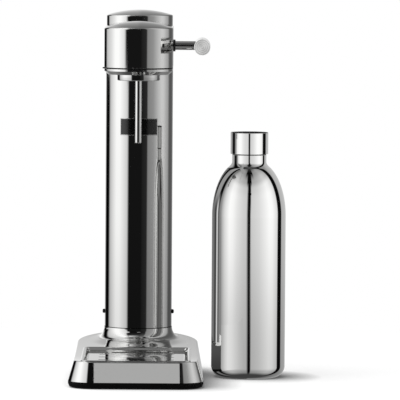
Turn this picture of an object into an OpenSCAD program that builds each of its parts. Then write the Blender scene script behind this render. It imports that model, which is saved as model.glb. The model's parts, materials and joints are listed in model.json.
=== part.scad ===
// Sparkling water maker with a round steel column, a side lever and its own steel bottle.
// Millimetres. The origin is on the table under the nozzle axis, the front faces -Y, and up is +Z.

/* [Base] */
// Width of the base at the foot of its walls
base_w = 150; // [146:1:160]
// How far the base reaches in front of the drip tray
base_ahead = 9; // [6:0.5:14]
// How far the base reaches behind the column's wall
base_behind = 6.7; // [5:0.1:12]
// Radius of the two front corners at the foot of the walls
base_corner_r = 28; // [24:1:34]
// Height of the rubber foot
foot_h = 7.4; // [6.5:0.1:9]
// Rounding of the rubber foot's lower edge
foot_round = 4.4; // [1:0.1:5]
// Thickness of the rubber under the chassis plate
foot_floor = 3; // [2.5:0.1:4]
// Thickness of the chassis plate
chassis_t = 2.5; // [2:0.1:3]
// Height of the top plate at its front edge
plate_front_z = 30; // [28:0.5:33]
// Radius of the long hollow curve of the top plate
plate_curve_r = 2300; // [2100:10:3000]
// How far behind the base's front edge that curve is level
plate_level = 2; // [0:1:20]
// Thickness of the base's steel
base_wall = 2; // [1.5:0.1:2.5]
// How far the front and side walls lean in over their height
wall_lean = 6.6; // [4:0.1:8]
// How far the round back wall leans in over the same height
back_lean = 4.1; // [3:0.1:5]
// Radius of the base's round back at the foot of its walls
back_r = 73.5; // [72:0.5:75]

/* [Drip tray] */
// Width of the tray over its rim
tray_w = 122; // [112:1:126]
// Length of the tray over its rim
tray_l = 126; // [116:1:128]
// How far behind the nozzle axis the tray ends
tray_back_y = 8; // [4:1:9]
// Corner radius of the rim
tray_corner_r = 8; // [6:0.5:12]
// Width of the rim
tray_rim_w = 4.8; // [4:0.1:6]
// Height of the rim over the top plate
tray_rim_h = 1.2; // [1:0.1:2]
// Depth of the tray's floor under the top plate
tray_depth = 2.6; // [2:0.1:4]
// Thickness of the tray's steel
tray_t = 1; // [0.8:0.1:1.5]
// Radius of the round tops of the ribs on the tray's floor
tray_rib_r = 2; // [1.5:0.1:3]
// How far the ribs stand up from the floor
tray_rib_h = 0.3; // [0.2:0.1:1]
// Distance from one rib to the next
tray_rib_pitch = 24; // [18:1:30]
// How far the ribs end from the rim
tray_rib_end = 14; // [8:1:20]

/* [Column] */
// Outside radius of the column
column_r = 38.3; // [37.5:0.1:38.6]
// Wall of the column
column_wall = 1.5; // [1.2:0.1:1.8]
// Length of the column tube from the collar to the head
column_len = 297.7; // [292:0.1:304]
// How far the column's axis stands behind the nozzle axis
reach = 86; // [85:0.5:88]
// Height of the collar's top
collar_top = 51.7; // [50:0.1:54]
// How far the collar stands out over the column
collar_lip = 0.4; // [0.2:0.1:0.8]
// Radius of the hollow flare from the collar to the base
flare_r = 13.5; // [11:0.5:15]
// Height of the column's inner foot over the collar
column_foot_rise = 24.3; // [20:0.1:30]
// Height of the two side studs over the collar
stud_rise = 17.3; // [14:0.1:18]
// Radius of a side stud's head
stud_r = 2.4; // [2:0.1:3]
// How far a side stud stands out
stud_out = 2.6; // [2:0.1:3]
// Width of the black plate on the column's front
badge_w = 45; // [40:1:50]
// Height of that plate
badge_h = 19.4; // [16:0.1:24]
// How far the plate's middle is under the head's seam
badge_drop = 68; // [60:1:76]
// Thickness of that plate
badge_t = 0.6; // [0.4:0.1:0.8]

/* [Head] */
// Outside radius of the head's two round ends
head_r = 38.8; // [38.6:0.1:40]
// Wall of the head's shell
head_wall = 1.2; // [1:0.1:1.3]
// Thickness of the dark gasket in the head's seam
seam_t = 1.3; // [0.8:0.1:1.6]
// Height of the head's upright wall over that gasket
head_h = 43.2; // [42.5:0.1:48]
// Rounding between the head's wall and its crown
head_round = 2.2; // [1.5:0.1:3]
// Slope of the head's crown at its edge
crown_slope = 21; // [16:1:24]
// Outside radius of the upper cap over the column
cap_r = 37.7; // [36.5:0.1:38]
// Height of the upper cap's wall over the ledge that it stands on
cap_h = 11.2; // [9:0.1:16]
// Rounding between the upper cap's wall and its crown
cap_round = 1.6; // [1:0.1:2.5]
// Slope of the upper cap's crown at its edge
cap_slope = 17.4; // [12:0.2:22]
// Thickness of the cover under the head
under_cover_t = 6.5; // [6:0.1:9]
// Thickness of the head's inner frame plate
frame_t = 4; // [3:0.1:4.5]
// Radius of the bottle socket
socket_r = 24; // [22:0.5:27]
// Height of the bottle socket under the head
socket_h = 6.9; // [6:0.1:9]

/* [Nozzle and valve] */
// Radius of the nozzle tube
nozzle_r = 3.75; // [3.5:0.05:4.5]
// Radius of the bore in the nozzle tube
nozzle_bore_r = 2.4; // [2:0.1:2.6]
// Length of the nozzle tube under the head's seam
nozzle_len = 84; // [76:1:92]
// Radius of the orifice in the nozzle tip
orifice_r = 0.6; // [0.4:0.1:0.9]
// Radius of the gas pipe in the head
pipe_r = 2; // [1.6:0.1:2.2]
// Radius of the bore in the gas pipe
pipe_bore_r = 1; // [0.6:0.1:1.2]
// Radius of the gas cylinder
gas_r = 30; // [29:0.1:30.4]
// Height of the gas cylinder up to its shoulder
gas_body_h = 290; // [276:1:294]
// Wall of the gas cylinder
gas_wall = 2.5; // [2:0.1:4]
// Radius of the threaded stem on the cylinder's valve
stem_r = 10.4; // [10:0.1:10.8]
// Radius of the valve plunger
plunger_r = 2.5; // [2:0.1:3]

/* [Lever] */
// Radius of the lever's shaft
shaft_r = 5; // [4.5:0.1:5.5]
// How far the shaft's axis is behind the nozzle axis
shaft_y = 22; // [20:0.5:24]
// Height of the shaft's axis over the head's seam
shaft_rise = 25.5; // [24:0.5:26.5]
// Radius of the handle
handle_r = 9.1; // [8:0.1:11]
// Distance of the handle's axis from the middle of the head
handle_x = 71.4; // [66:0.1:78]
// How far the handle reaches in front of the shaft
handle_front = 60; // [50:1:70]
// How far the handle reaches behind the shaft
handle_back = 9; // [7:0.5:12]
// Thickness of the turned disc at the handle's front end
handle_disc_t = 2; // [1.5:0.1:3]
// Radius of the black bush round the shaft
bush_r = 6.75; // [6.5:0.05:8]
// How far that bush stands out of the head
bush_out = 2.4; // [2:0.1:3.5]
// Radius of the round cam
cam_r = 9; // [8.5:0.1:9.5]
// How far the cam's centre is off the shaft's axis
cam_throw = 2.5; // [2:0.1:2.6]

/* [Bottle] */
// Outside radius of the bottle
bottle_r = 41.7; // [40:0.1:43]
// Height of the bottle's straight side
bottle_side_h = 183; // [170:1:200]
// How far the shoulder's curve draws in
shoulder_in = 33.5; // [32:0.5:35]
// Height of the shoulder's full curve
shoulder_h = 62; // [56:1:68]
// Rounding of the bottle's lower edge
bottle_round = 13; // [8:0.5:16]
// Wall of the bottle
bottle_wall = 1; // [0.8:0.1:1.5]
// Outside radius of the neck
neck_r = 19.4; // [18.5:0.1:20]
// Height of the bare neck under the cap
neck_h = 11.6; // [9:0.1:14]
// Outside radius of the finish that the cap screws on
finish_r = 16.5; // [16:0.1:16.8]
// Radius of the bottle's mouth
mouth_r = 14.2; // [13:0.1:14.6]
// Height of the finish
finish_h = 21; // [18:0.5:24]
// Outside radius of the bottle's cap
lid_r = 21.3; // [20.5:0.1:23]
// Thickness of the cap's top
lid_top = 2; // [1.5:0.1:3]
// Where the bottle stands to the right of the nozzle axis
bottle_x = 125.5; // [120:0.5:140]
// Where the bottle stands behind the nozzle axis
bottle_y = 28; // [0:1:60]

/* [Hidden] */
$fn = 96;

// Clearances: a seat, a running fit, a loose fit and a hair between a pin and its own piece
seat = 0.3;
running = 0.08;
loose = 0.4;
snug = 0.03;
// How far a cutter runs past the face that it opens
past = 1;

// Base
half_w = base_w / 2;
base_front = tray_l - tray_back_y + base_ahead;
back_y = reach + column_r + base_behind;
plate_level_y = base_front - plate_level;
back_centre_y = back_y - back_r;
wall_top = plate_front_z + 22;
lean = wall_lean / (plate_front_z - foot_h);
lean_back = back_lean / (plate_front_z - foot_h);
plate_edge_y = -base_front + wall_lean;
chassis_z = foot_floor;
chassis_top = foot_floor + chassis_t;
foot_rim = 6;
bay_r = gas_r + 2.5;
post_r = 5;
screw_r = 1.5;
screw_head_r = 3.4;
screw_head_t = 2;
screw_len = 12;
post_front_x = half_w - base_corner_r + 3;
post_front_y = base_corner_r + 4 - base_front;
post_back_x = back_r - 15.5;
post_back_y = back_centre_y - 23.5;
post_spots = [
    [-post_front_x, post_front_y], [post_front_x, post_front_y],
    [-post_back_x, post_back_y], [post_back_x, post_back_y]
];

// Heights up the column
gasket_t = 0.6;
column_z = collar_top + gasket_t;
seam_z = column_z + column_len;
column_bore = column_r - column_wall;
column_foot_r = column_bore - 0.2;
column_foot_wall = 3.3;
column_foot_top = collar_top + column_foot_rise;
spine_r = column_foot_r;
spine_t = 3;
spine_turn = 150;
guide_h = 9;
guide_wall_r = column_foot_r - column_foot_wall - 0.05;
badge_z = seam_z - badge_drop;
stud_z = collar_top + stud_rise;
stud_shank_r = 1.5;

// Drip tray, in a frame that tilts with the top plate
tray_front_y = tray_back_y - tray_l;
tray_tilt = atan((plate_z(tray_back_y) - plate_z(tray_front_y)) / tray_l);
tray_skirt = tray_rim_w / 2;
tray_low = tray_depth + tray_t;
well_gap = 0.4;
rib_count = floor((tray_l - 2 * tray_rim_w - 12) / tray_rib_pitch) + 1;

// Head
head_z = seam_z + seam_t;
head_wall_top = head_z + head_h;
head_in_r = head_r - head_wall;
frame_r = head_in_r - 0.2;
frame_top = seam_z + frame_t;
ledge_z = head_wall_top + head_round - 0.6;
ledge_t = 1.2;
cap_z = ledge_z;
under_z = seam_z - under_cover_t;
cover_r = head_r - 0.2;
cover_end_y = reach - 20;
socket_z = under_z - socket_h;
socket_bore_r = finish_r + 0.4;
socket_hub_r = 19;
frame_screw_x = socket_hub_r - 4.5;
socket_roof = 2.5;
socket_roof_z = seam_z - socket_roof;

// Nozzle, pipe and valve
nozzle_tip_z = seam_z - nozzle_len;
nozzle_spigot_r = nozzle_bore_r + 0.8;
socket_seal_t = 2;
block_z = socket_roof_z - socket_seal_t;
block_r = 14;
block_top = frame_top + 8;
block_spigot_r = 8;
nozzle_top = frame_top + 3;
pipe_z = frame_top + 4.2;
nut_r = 3.9;
nut_t = 5;
valve_r = 14;
valve_flange_r = 22;
valve_flange_t = 3;
valve_top = frame_top + 18;
socket_depth = 14;
gas_z = foot_floor + 1;
gas_shoulder_z = gas_z + gas_body_h;
gas_neck_r = 13;
gas_drop = 16;
gas_neck_h = 4;
gas_dome_h = seam_z - gas_drop - gas_shoulder_z;
gas_neck_top = gas_shoulder_z + gas_dome_h;
gas_bore_r = 8.5;
valve_screw_h = 12;
valve_hex_h = 4;
stem_rise = 2;
stem_z = gas_neck_top + valve_hex_h;
stem_top = seam_z + stem_rise;
seal_t = 2.5;
stem_pin_r = 1.5;
stem_pin_top = stem_top + seal_t - stem_rise;
valve_bore_top = stem_top + seat + seal_t;

// Lever, cam and rocker
shaft_z = seam_z + shaft_rise;
cam_phase = -30;
lever_turn = 60;
cam_gap = 0.15;
cam_half = 4;
pivot_y = shaft_y + (reach - shaft_y) / 2;
arm = pivot_y - shaft_y;
pad_z = shaft_z + cam_throw * sin(cam_phase) + cam_r + cam_gap;
rocker_pin_r = 2.5;
rocker_z = pad_z + 3.2;
rocker_t = 6;
rocker_half = 6;
plunger_top = pad_z + 1.2;
plunger_collar_t = 1.5;
plunger_collar_r = 6;
spring_top = plunger_top - 4;
spring_wire_r = 0.5;
spring_r = plunger_r + 1.9;
spring_turns = 4;
plunger_foot_z = stem_pin_top + 3.1;
lug_t = 4;
lug_x = 29;
lug_r = 11;
bearing_r = shaft_r + 2.6;
ear_t = 4;
ear_x = rocker_half + seat;
ear_r = 5.5;
shaft_left = -36;
shaft_end = handle_x - 3;
handle_y0 = shaft_y - handle_front;
handle_y1 = shaft_y + handle_back;

// Bottle
shoulder_z = bottle_side_h;
shoulder_fall = shoulder_in - (bottle_r - neck_r);
shoulder_top = shoulder_z + shoulder_h * sqrt(1 - pow(shoulder_fall / shoulder_in, 2));
neck_top = shoulder_top + neck_h;
finish_top = neck_top + finish_h;
liner_t = 1.4;
lid_z = neck_top + seat;
lid_in_z = finish_top + seat + liner_t;
base_disc_r = bottle_r - bottle_round;

// Height of the top plate at a place along the base: a long arc, level well in front of the base
function arc_rise(y) = plate_curve_r - sqrt(pow(plate_curve_r, 2) - pow(y + plate_level_y, 2));
function plate_z(y) = plate_front_z + arc_rise(y) - arc_rise(plate_edge_y);

// Points of an arc about a centre, from one angle to another
function arc(cx, cy, r, from, to, steps) = [
    for (i = [0:steps]) let (a = from + (to - from) * i / steps) [cx + r * cos(a), cy + r * sin(a)]
];

// Half outline of a crowned top: an upright wall, a rounded edge and a crown of one large radius
function crown_outline(r, z0, wall_z, round, slope) =
    let (
        edge_x = r - round + round * sin(slope),
        edge_z = wall_z + round * cos(slope),
        crown_r = edge_x / sin(slope)
    )
    concat(
        [[0, z0], [r, z0]],
        arc(r - round, wall_z, round, 0, 90 - slope, 6),
        [for (i = [1:12]) let (a = slope * (1 - i / 12))
            [crown_r * sin(a), edge_z + crown_r * (cos(a) - cos(slope))]]
    );

module at_column(z = 0) translate([0, reach, z]) children();
module at_bottle(z = 0) translate([bottle_x, bottle_y, z]) children();
module along_x(x0, x1, y, z, r) translate([x0, y, z]) rotate([0, 90, 0]) cylinder(h = x1 - x0, r = r);
module along_y(y0, y1, x, z, r) translate([x, y1, z]) rotate([90, 0, 0]) cylinder(h = y1 - y0, r = r);

module ring(r_out, r_in, h) {
    difference() {
        cylinder(h = h, r = r_out);
        translate([0, 0, -past]) cylinder(h = h + 2 * past, r = r_in);
    }
}

module rounded_rect(w, l, r) {
    square([w - 2 * r, l], center = true);
    square([w, l - 2 * r], center = true);
    for (sx = [-1, 1], sy = [-1, 1]) translate([sx * (w / 2 - r), sy * (l / 2 - r)]) circle(r = r);
}

// Plan of the base: two round front corners and one half circle at the back
module footprint(inset) {
    hull() {
        for (side = [-1, 1])
            translate([side * (half_w - base_corner_r), base_corner_r - base_front])
                circle(r = base_corner_r - inset, $fn = 48);
        translate([0, back_centre_y]) circle(r = back_r - inset, $fn = 96);
    }
}

// The base's leaning walls as one tapering body
module leaning_body(inset, z0, z1) {
    hull() {
        for (side = [-1, 1])
            translate([side * (half_w - base_corner_r), base_corner_r - base_front, z0])
                cylinder(
                    h = z1 - z0,
                    r1 = base_corner_r - inset - lean * (z0 - foot_h),
                    r2 = base_corner_r - inset - lean * (z1 - foot_h),
                    $fn = 48
                );
        translate([0, back_centre_y, z0])
            cylinder(
                h = z1 - z0,
                r1 = back_r - inset - lean_back * (z0 - foot_h),
                r2 = back_r - inset - lean_back * (z1 - foot_h),
                $fn = 96
            );
    }
}

// Everything above the top plate's surface, or above a surface that lies deeper by a thickness
module above_plate(deeper) {
    translate([-half_w - past, -plate_level_y, plate_z(-plate_level_y) + plate_curve_r])
        rotate([0, 90, 0]) cylinder(h = base_w + 2 * past, r = plate_curve_r + deeper, $fn = 720);
}

module on_plate() {
    translate([0, tray_back_y, plate_z(tray_back_y)]) rotate([tray_tilt, 0, 0]) children();
}

module tray_block(inset, z0, z1) {
    translate([0, -tray_l / 2, z0]) linear_extrude(z1 - z0)
        rounded_rect(tray_w - 2 * inset, tray_l - 2 * inset, tray_corner_r - inset);
}

module base_foot() color("#151515") {
    difference() {
        hull() {
            linear_extrude(0.01) footprint(foot_round);
            translate([0, 0, foot_round * 0.3]) linear_extrude(0.01) footprint(foot_round * 0.3);
            translate([0, 0, foot_round]) linear_extrude(foot_h - foot_round) footprint(0);
        }
        translate([0, 0, foot_floor]) linear_extrude(foot_h) footprint(foot_rim);
        at_column(-past) cylinder(h = foot_h + 2 * past, r = bay_r);
        for (spot = post_spots)
            translate([spot[0], spot[1], -past]) cylinder(h = foot_h, r = screw_head_r + loose);
    }
}

module base_chassis() color("#8a8d90") {
    difference() {
        translate([0, 0, chassis_z]) linear_extrude(chassis_t) footprint(foot_rim + seat);
        at_column(0) cylinder(h = chassis_top + past, r = bay_r);
        for (spot = post_spots)
            translate([spot[0], spot[1], 0]) cylinder(h = chassis_top + past, r = screw_r + 0.2);
    }
}

// Collar and flare: upright at the seam, then a hollow curve that runs out into a shallow cone
module collar_flare() {
    foot_angle = 78;
    collar_r = column_r + collar_lip;
    foot_x = collar_r + flare_r * (1 - cos(foot_angle));
    foot_z = collar_top - flare_r * sin(foot_angle);
    cone_run = 22;
    cone_fall = cone_run / tan(foot_angle);
    skin = base_wall;
    at_column(foot_z - skin) ring(collar_r, column_bore - 0.4, collar_top - foot_z + skin);
    at_column() intersection() {
        translate([0, -reach, 0]) leaning_body(base_wall / 2, foot_h, wall_top);
        rotate_extrude($fn = 128) polygon(concat(
            [[column_bore - 0.4, foot_z - skin], [column_bore - 0.4, collar_top]],
            [for (i = [0:10]) let (a = foot_angle * i / 10)
                [collar_r + flare_r * (1 - cos(a)), collar_top - flare_r * sin(a)]],
            [
                [foot_x + cone_run, foot_z - cone_fall],
                [foot_x + cone_run, foot_z - cone_fall - skin],
                [foot_x, foot_z - skin]
            ]
        ));
    }
}

module base_housing() color("#c9cccf") {
    well_inset = tray_skirt - well_gap;
    well_depth = tray_low + 0.1;
    screw_hole_h = foot_floor - screw_head_t + screw_len + 2;
    difference() {
        union() {
            difference() {
                leaning_body(0, foot_h, wall_top);
                above_plate(0);
                difference() {
                    leaning_body(base_wall, foot_h - past, wall_top + past);
                    above_plate(base_wall);
                }
            }
            on_plate() tray_block(well_inset - base_wall, -well_depth - base_wall, -base_wall / 2);
            for (spot = post_spots) {
                under_tray = spot[1] == post_front_y ? tray_low : 0;
                post_top = plate_z(spot[1]) - base_wall / 2 - under_tray;
                translate([spot[0], spot[1], chassis_top]) cylinder(h = post_top - chassis_top, r = post_r);
            }
            collar_flare();
        }
        on_plate() tray_block(well_inset, -well_depth, 3);
        at_column(foot_h) cylinder(h = wall_top, r = column_foot_r + 0.1);
        for (spot = post_spots)
            translate([spot[0], spot[1], 0]) cylinder(h = screw_hole_h, r = screw_r + snug);
    }
}

module base_screws() color("#77797c") {
    for (spot = post_spots) translate([spot[0], spot[1], foot_floor - screw_head_t]) {
        cylinder(h = screw_head_t, r = screw_head_r);
        cylinder(h = screw_head_t + screw_len, r = screw_r);
    }
}

module drip_tray() color("#d3d5d7") {
    inner = tray_rim_w;
    rib_half = tray_w / 2 - inner - tray_rib_end;
    on_plate() {
        difference() {
            union() {
                hull() {
                    tray_block(0, 0.3, tray_rim_h * 0.6);
                    tray_block(1.2, 0.3, tray_rim_h);
                }
                tray_block(tray_skirt, -tray_low, 0.4);
            }
            tray_block(inner, -tray_depth, tray_rim_h + past);
        }
        for (i = [0:rib_count - 1]) {
            rib_y = -tray_l / 2 + (i - (rib_count - 1) / 2) * tray_rib_pitch;
            translate([0, rib_y, -tray_depth]) intersection() {
                along_x(-rib_half, rib_half, 0, tray_rib_h - tray_rib_r, tray_rib_r);
                translate([-rib_half, -tray_rib_r, -tray_t / 2])
                    cube([2 * rib_half, 2 * tray_rib_r, tray_rib_h + tray_t]);
            }
        }
    }
}

module collar_gasket() color("#101010") {
    at_column(collar_top) ring(column_r - 0.2, column_foot_r + 0.1, gasket_t);
}

module column_foot() color("#6c6f73") {
    inner_r = column_foot_r - column_foot_wall;
    difference() {
        union() {
            at_column(chassis_top) ring(column_foot_r, inner_r, column_foot_top - chassis_top);
            intersection() {
                at_column(chassis_top) ring(column_foot_r + 8, inner_r, 3);
                translate([0, 0, chassis_top]) linear_extrude(3) footprint(foot_rim + 2 * seat + base_wall);
            }
        }
        along_x(-column_r, column_r, reach, stud_z, stud_shank_r + snug);
    }
}

module column_tube() color("#c9cccf") {
    difference() {
        at_column(column_z) ring(column_r, column_bore, column_len);
        along_x(-column_r - past, column_r + past, reach, stud_z, stud_shank_r + snug);
    }
}

module column_spine() color("#6c6f73") {
    at_column(column_foot_top) rotate([0, 0, 90 - spine_turn / 2])
        rotate_extrude(angle = spine_turn)
            translate([spine_r - spine_t, 0]) square([spine_t, seam_z - column_foot_top]);
}

module side_studs() color("#161616") {
    shank = column_foot_wall + column_wall;
    for (side = [0, 180]) at_column(stud_z) rotate([0, 0, side]) {
        along_x(column_r - shank, column_r + stud_out - 1, 0, 0, stud_shank_r);
        along_x(column_r, column_r + stud_out - 0.6, 0, 0, stud_r);
        translate([column_r + stud_out - 0.6, 0, 0]) rotate([0, 90, 0])
            cylinder(h = 0.6, r1 = stud_r, r2 = stud_r - 0.8);
    }
}

module badge_plate() color("#0c0c0c") {
    intersection() {
        at_column(badge_z - badge_h / 2) ring(column_r + badge_t, column_r, badge_h);
        translate([-badge_w / 2, reach - column_r - 2 * badge_t, 0]) cube([badge_w, column_r, seam_z]);
    }
}

module guide(z, r_out) {
    at_column(z) difference() {
        ring(r_out, gas_r + seat, guide_h);
        for (a = [0:60:300]) rotate([0, 0, a])
            translate([gas_r, -2, 2]) cube([r_out, 4, guide_h]);
    }
}

module cylinder_guide_lower() color("#2b2b2b") guide(chassis_top + 3, guide_wall_r);

module cylinder_guide_upper() color("#2b2b2b") guide(gas_shoulder_z - 20, spine_r - spine_t - 0.05);

// The gas cylinder is a shell with a round shoulder, open at the neck where its valve screws in
module gas_cylinder() color("#9aa0a6") {
    steps = 10;
    rise = gas_dome_h - gas_neck_h;
    outer = [for (i = [0:steps]) let (a = 90 * i / steps)
        [gas_neck_r + (gas_r - gas_neck_r) * cos(a), gas_shoulder_z + rise * sin(a)]];
    inner = [for (i = [0:steps]) let (a = 90 * (1 - i / steps))
        [gas_bore_r + (gas_r - gas_wall - gas_bore_r) * cos(a), gas_shoulder_z + (rise - gas_wall) * sin(a)]];
    at_column() rotate_extrude()
        polygon(concat(
            [[0, gas_z + 2], [gas_r - 8, gas_z + 2], [gas_r - 6, gas_z]],
            arc(gas_r - 5, gas_z + 5, 5, -90, 0, 5),
            outer,
            [[gas_neck_r, gas_neck_top], [gas_bore_r, gas_neck_top]],
            inner,
            [[gas_r - gas_wall, gas_z + 6], [0, gas_z + 6]]
        ));
}

module cylinder_valve() color("#b5893f") {
    at_column() {
        translate([0, 0, gas_neck_top - valve_screw_h]) cylinder(h = valve_screw_h, r = gas_bore_r - snug);
        translate([0, 0, gas_neck_top]) cylinder(h = valve_hex_h, r = gas_neck_r, $fn = 6);
        translate([0, 0, stem_z]) cylinder(h = stem_top - stem_z, r = stem_r);
        translate([0, 0, stem_top]) cylinder(h = stem_pin_top - stem_top, r = stem_pin_r);
    }
}

module stadium(r) {
    circle(r = r);
    translate([-r, 0]) square([2 * r, reach]);
    translate([0, reach]) circle(r = r);
}

// Frame of the head: a plate on the column with lugs for the shaft and ears for the rocker's pin
module head_frame() color("#7d8185") {
    difference() {
        union() {
            translate([0, 0, seam_z]) linear_extrude(frame_t) stadium(frame_r);
            for (side = [-1, 1]) {
                x0 = side > 0 ? lug_x : -lug_x - lug_t;
                along_x(x0, x0 + lug_t, shaft_y, shaft_z, lug_r);
                translate([x0, shaft_y - lug_r, frame_top - 1])
                    cube([lug_t, 2 * lug_r, shaft_z - frame_top + 1]);
                x1 = side > 0 ? ear_x : -ear_x - ear_t;
                along_x(x1, x1 + ear_t, pivot_y, rocker_z, ear_r);
                translate([x1, pivot_y - ear_r, frame_top - 1])
                    cube([ear_t, 2 * ear_r, rocker_z - frame_top + 1]);
            }
        }
        along_x(-lug_x - lug_t - past, lug_x + lug_t + past, shaft_y, shaft_z, bearing_r + snug);
        along_x(-ear_x - ear_t - past, ear_x + ear_t + past, pivot_y, rocker_z, rocker_pin_r + snug);
        translate([0, 0, seam_z - past]) cylinder(h = frame_t + 2 * past, r = block_spigot_r + 0.1);
        at_column(seam_z - past) cylinder(h = frame_t + 2 * past, r = valve_r + 0.1);
        for (a = [45:90:315]) rotate([0, 0, a]) translate([frame_screw_x, 0, seam_z - past])
            cylinder(h = frame_t + 2 * past, r = screw_r + snug);
    }
}

// Cover under the head: a bright rim at the seam, and under it a tapering tray hollowed for the column
module under_cover() color("#c4c7ca") {
    rim_t = 2.8;
    fall = 4.5;
    tray_h = under_cover_t - rim_t;
    difference() {
        intersection() {
            union() {
                translate([0, 0, seam_z - rim_t]) linear_extrude(rim_t) stadium(cover_r);
                hull() {
                    for (y = [0, reach]) translate([0, y, under_z])
                        cylinder(h = tray_h, r1 = cover_r - fall, r2 = cover_r - 0.6);
                }
            }
            translate([-head_r, -head_r, under_z - past])
                cube([2 * head_r, head_r + cover_end_y, under_cover_t + 2 * past]);
        }
        at_column(under_z - past) cylinder(h = under_cover_t + 2 * past, r = column_r + 0.15);
        translate([0, 0, under_z - past]) cylinder(h = under_cover_t + 2 * past, r = socket_hub_r + 0.1);
    }
}

module seam_gasket() color("#0e0e0e") {
    tab_out = 1.6;
    translate([0, 0, seam_z]) linear_extrude(seam_t) difference() {
        stadium(head_r - 0.6);
        stadium(frame_r + 0.05);
    }
    translate([-head_r - tab_out, -5, seam_z]) cube([tab_out + 1.2, 10, seam_t - 0.1]);
}

// A stadium with a crowned top: half turns of one outline at both ends, and its extrusion between them
module crowned_stadium(points) {
    rotate([0, 0, 180]) rotate_extrude(angle = 180) polygon(points);
    translate([0, reach, 0]) rotate_extrude(angle = 180) polygon(points);
    rotate([90, 0, 180]) linear_extrude(reach)
        polygon(concat(points, [for (i = [len(points) - 2:-1:1]) [-points[i][0], points[i][1]]]));
}

module head_shell() color("#c9cccf") {
    difference() {
        crowned_stadium(crown_outline(head_r, head_z, head_wall_top, head_round, crown_slope));
        difference() {
            crowned_stadium(crown_outline(
                head_in_r, head_z - past, head_wall_top - head_wall, head_round - head_wall / 2, crown_slope
            ));
            at_column(ledge_z - ledge_t) cylinder(h = 20, r = cap_r + 1);
        }
        at_column(ledge_z) cylinder(h = 20, r = cap_r + 0.05);
        at_column(ledge_z - ledge_t - past) cylinder(h = 20, r = cap_r - 8);
        along_x(0, head_r + past, shaft_y, shaft_z, bush_r - 0.7);
    }
}

module upper_cap() color("#c9cccf") {
    wall = head_wall;
    wall_top = cap_z + cap_h;
    at_column() rotate_extrude($fn = 128) difference() {
        polygon(crown_outline(cap_r, cap_z, wall_top, cap_round, cap_slope));
        translate([0, -0.01])
            polygon(crown_outline(cap_r - wall, cap_z, wall_top - wall, cap_round - wall / 2, cap_slope));
    }
}

module frame_screws() color("#77797c") {
    for (a = [45:90:315]) rotate([0, 0, a]) translate([frame_screw_x, 0, 0]) {
        translate([0, 0, socket_roof_z + 0.5]) cylinder(h = frame_top - socket_roof_z - 0.5, r = screw_r);
        translate([0, 0, frame_top]) cylinder(h = 1.6, r = screw_r + 1);
    }
}

// The bottle's finish comes up into this flanged ring round the nozzle
module bottle_socket() color("#c9cccf") {
    edge = 1;
    difference() {
        union() {
            translate([0, 0, socket_z + edge]) cylinder(h = socket_h - edge, r = socket_r);
            translate([0, 0, socket_z]) cylinder(h = edge, r1 = socket_r - edge, r2 = socket_r);
            translate([0, 0, under_z]) cylinder(h = under_cover_t, r = socket_hub_r);
        }
        translate([0, 0, socket_z - past]) cylinder(h = socket_roof_z - socket_z + past, r = socket_bore_r);
        translate([0, 0, socket_z]) cylinder(h = seam_z - socket_z + past, r = block_spigot_r + 0.1);
        for (a = [45:90:315]) rotate([0, 0, a]) translate([frame_screw_x, 0, socket_roof_z])
            cylinder(h = socket_roof + past, r = screw_r + snug);
    }
}

module socket_seal() color("#1a1a1a") {
    translate([0, 0, block_z]) ring(socket_bore_r - 0.05, mouth_r - 4, socket_seal_t);
}

module nozzle_block() color("#9a9da0") {
    difference() {
        union() {
            translate([0, 0, frame_top]) cylinder(h = block_top - frame_top, r = block_r - 3);
            translate([0, 0, block_z]) cylinder(h = frame_top - block_z, r = block_spigot_r);
        }
        translate([0, 0, socket_z]) cylinder(h = nozzle_top - socket_z, r = nozzle_spigot_r + snug);
        translate([0, 0, socket_z]) cylinder(h = pipe_z - socket_z + pipe_bore_r, r = pipe_bore_r + 0.5);
        along_y(0, block_r, 0, pipe_z, pipe_bore_r);
        along_y(block_r - 3 - 4, block_r, 0, pipe_z, pipe_r + snug);
        along_x(-block_r, block_r, 0, pipe_z, 1.5);
    }
}

// The nozzle tube hangs from the block by a narrower spigot, and its shoulder meets the block's face
module nozzle_tube() color("#d6d8da") {
    free_len = block_z - nozzle_tip_z;
    translate([0, 0, nozzle_tip_z]) difference() {
        union() {
            cylinder(h = 1, r1 = nozzle_r - 0.7, r2 = nozzle_r);
            translate([0, 0, 1]) cylinder(h = free_len - 1, r = nozzle_r);
            translate([0, 0, free_len]) cylinder(h = nozzle_top - block_z, r = nozzle_spigot_r);
        }
        translate([0, 0, -past]) cylinder(h = nozzle_top - nozzle_tip_z + 2 * past, r = nozzle_bore_r);
    }
}

module nozzle_tip() color("#b9bcbf") {
    translate([0, 0, nozzle_tip_z + 0.5]) ring(nozzle_bore_r - snug, orifice_r, 6);
}

module relief_valve(length) {
    flat = block_r - 3;
    along_x(flat - 3, flat + 1, 0, pipe_z, 1.45);
    translate([flat, 0, pipe_z]) rotate([0, 90, 0]) cylinder(h = 3, r = 4, $fn = 6);
    along_x(flat + 3, flat + length, 0, pipe_z, 3);
}

module safety_valve() color("#b5893f") mirror([1, 0, 0]) relief_valve(12);

module release_valve() color("#9fa3a7") relief_valve(9);

module gas_pipe() color("#c28f52") {
    difference() {
        along_y(block_r - 3 - 3.9, reach - valve_r + 3.9, 0, pipe_z, pipe_r);
        along_y(0, reach, 0, pipe_z, pipe_bore_r);
    }
}

module pipe_nuts() color("#b5893f") {
    for (y1 = [block_r - 3 + nut_t, reach - valve_r]) difference() {
        translate([0, y1, pipe_z]) rotate([90, 30, 0]) cylinder(h = nut_t, r = nut_r, $fn = 6);
        along_y(0, reach, 0, pipe_z, pipe_r + snug);
    }
}

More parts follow.
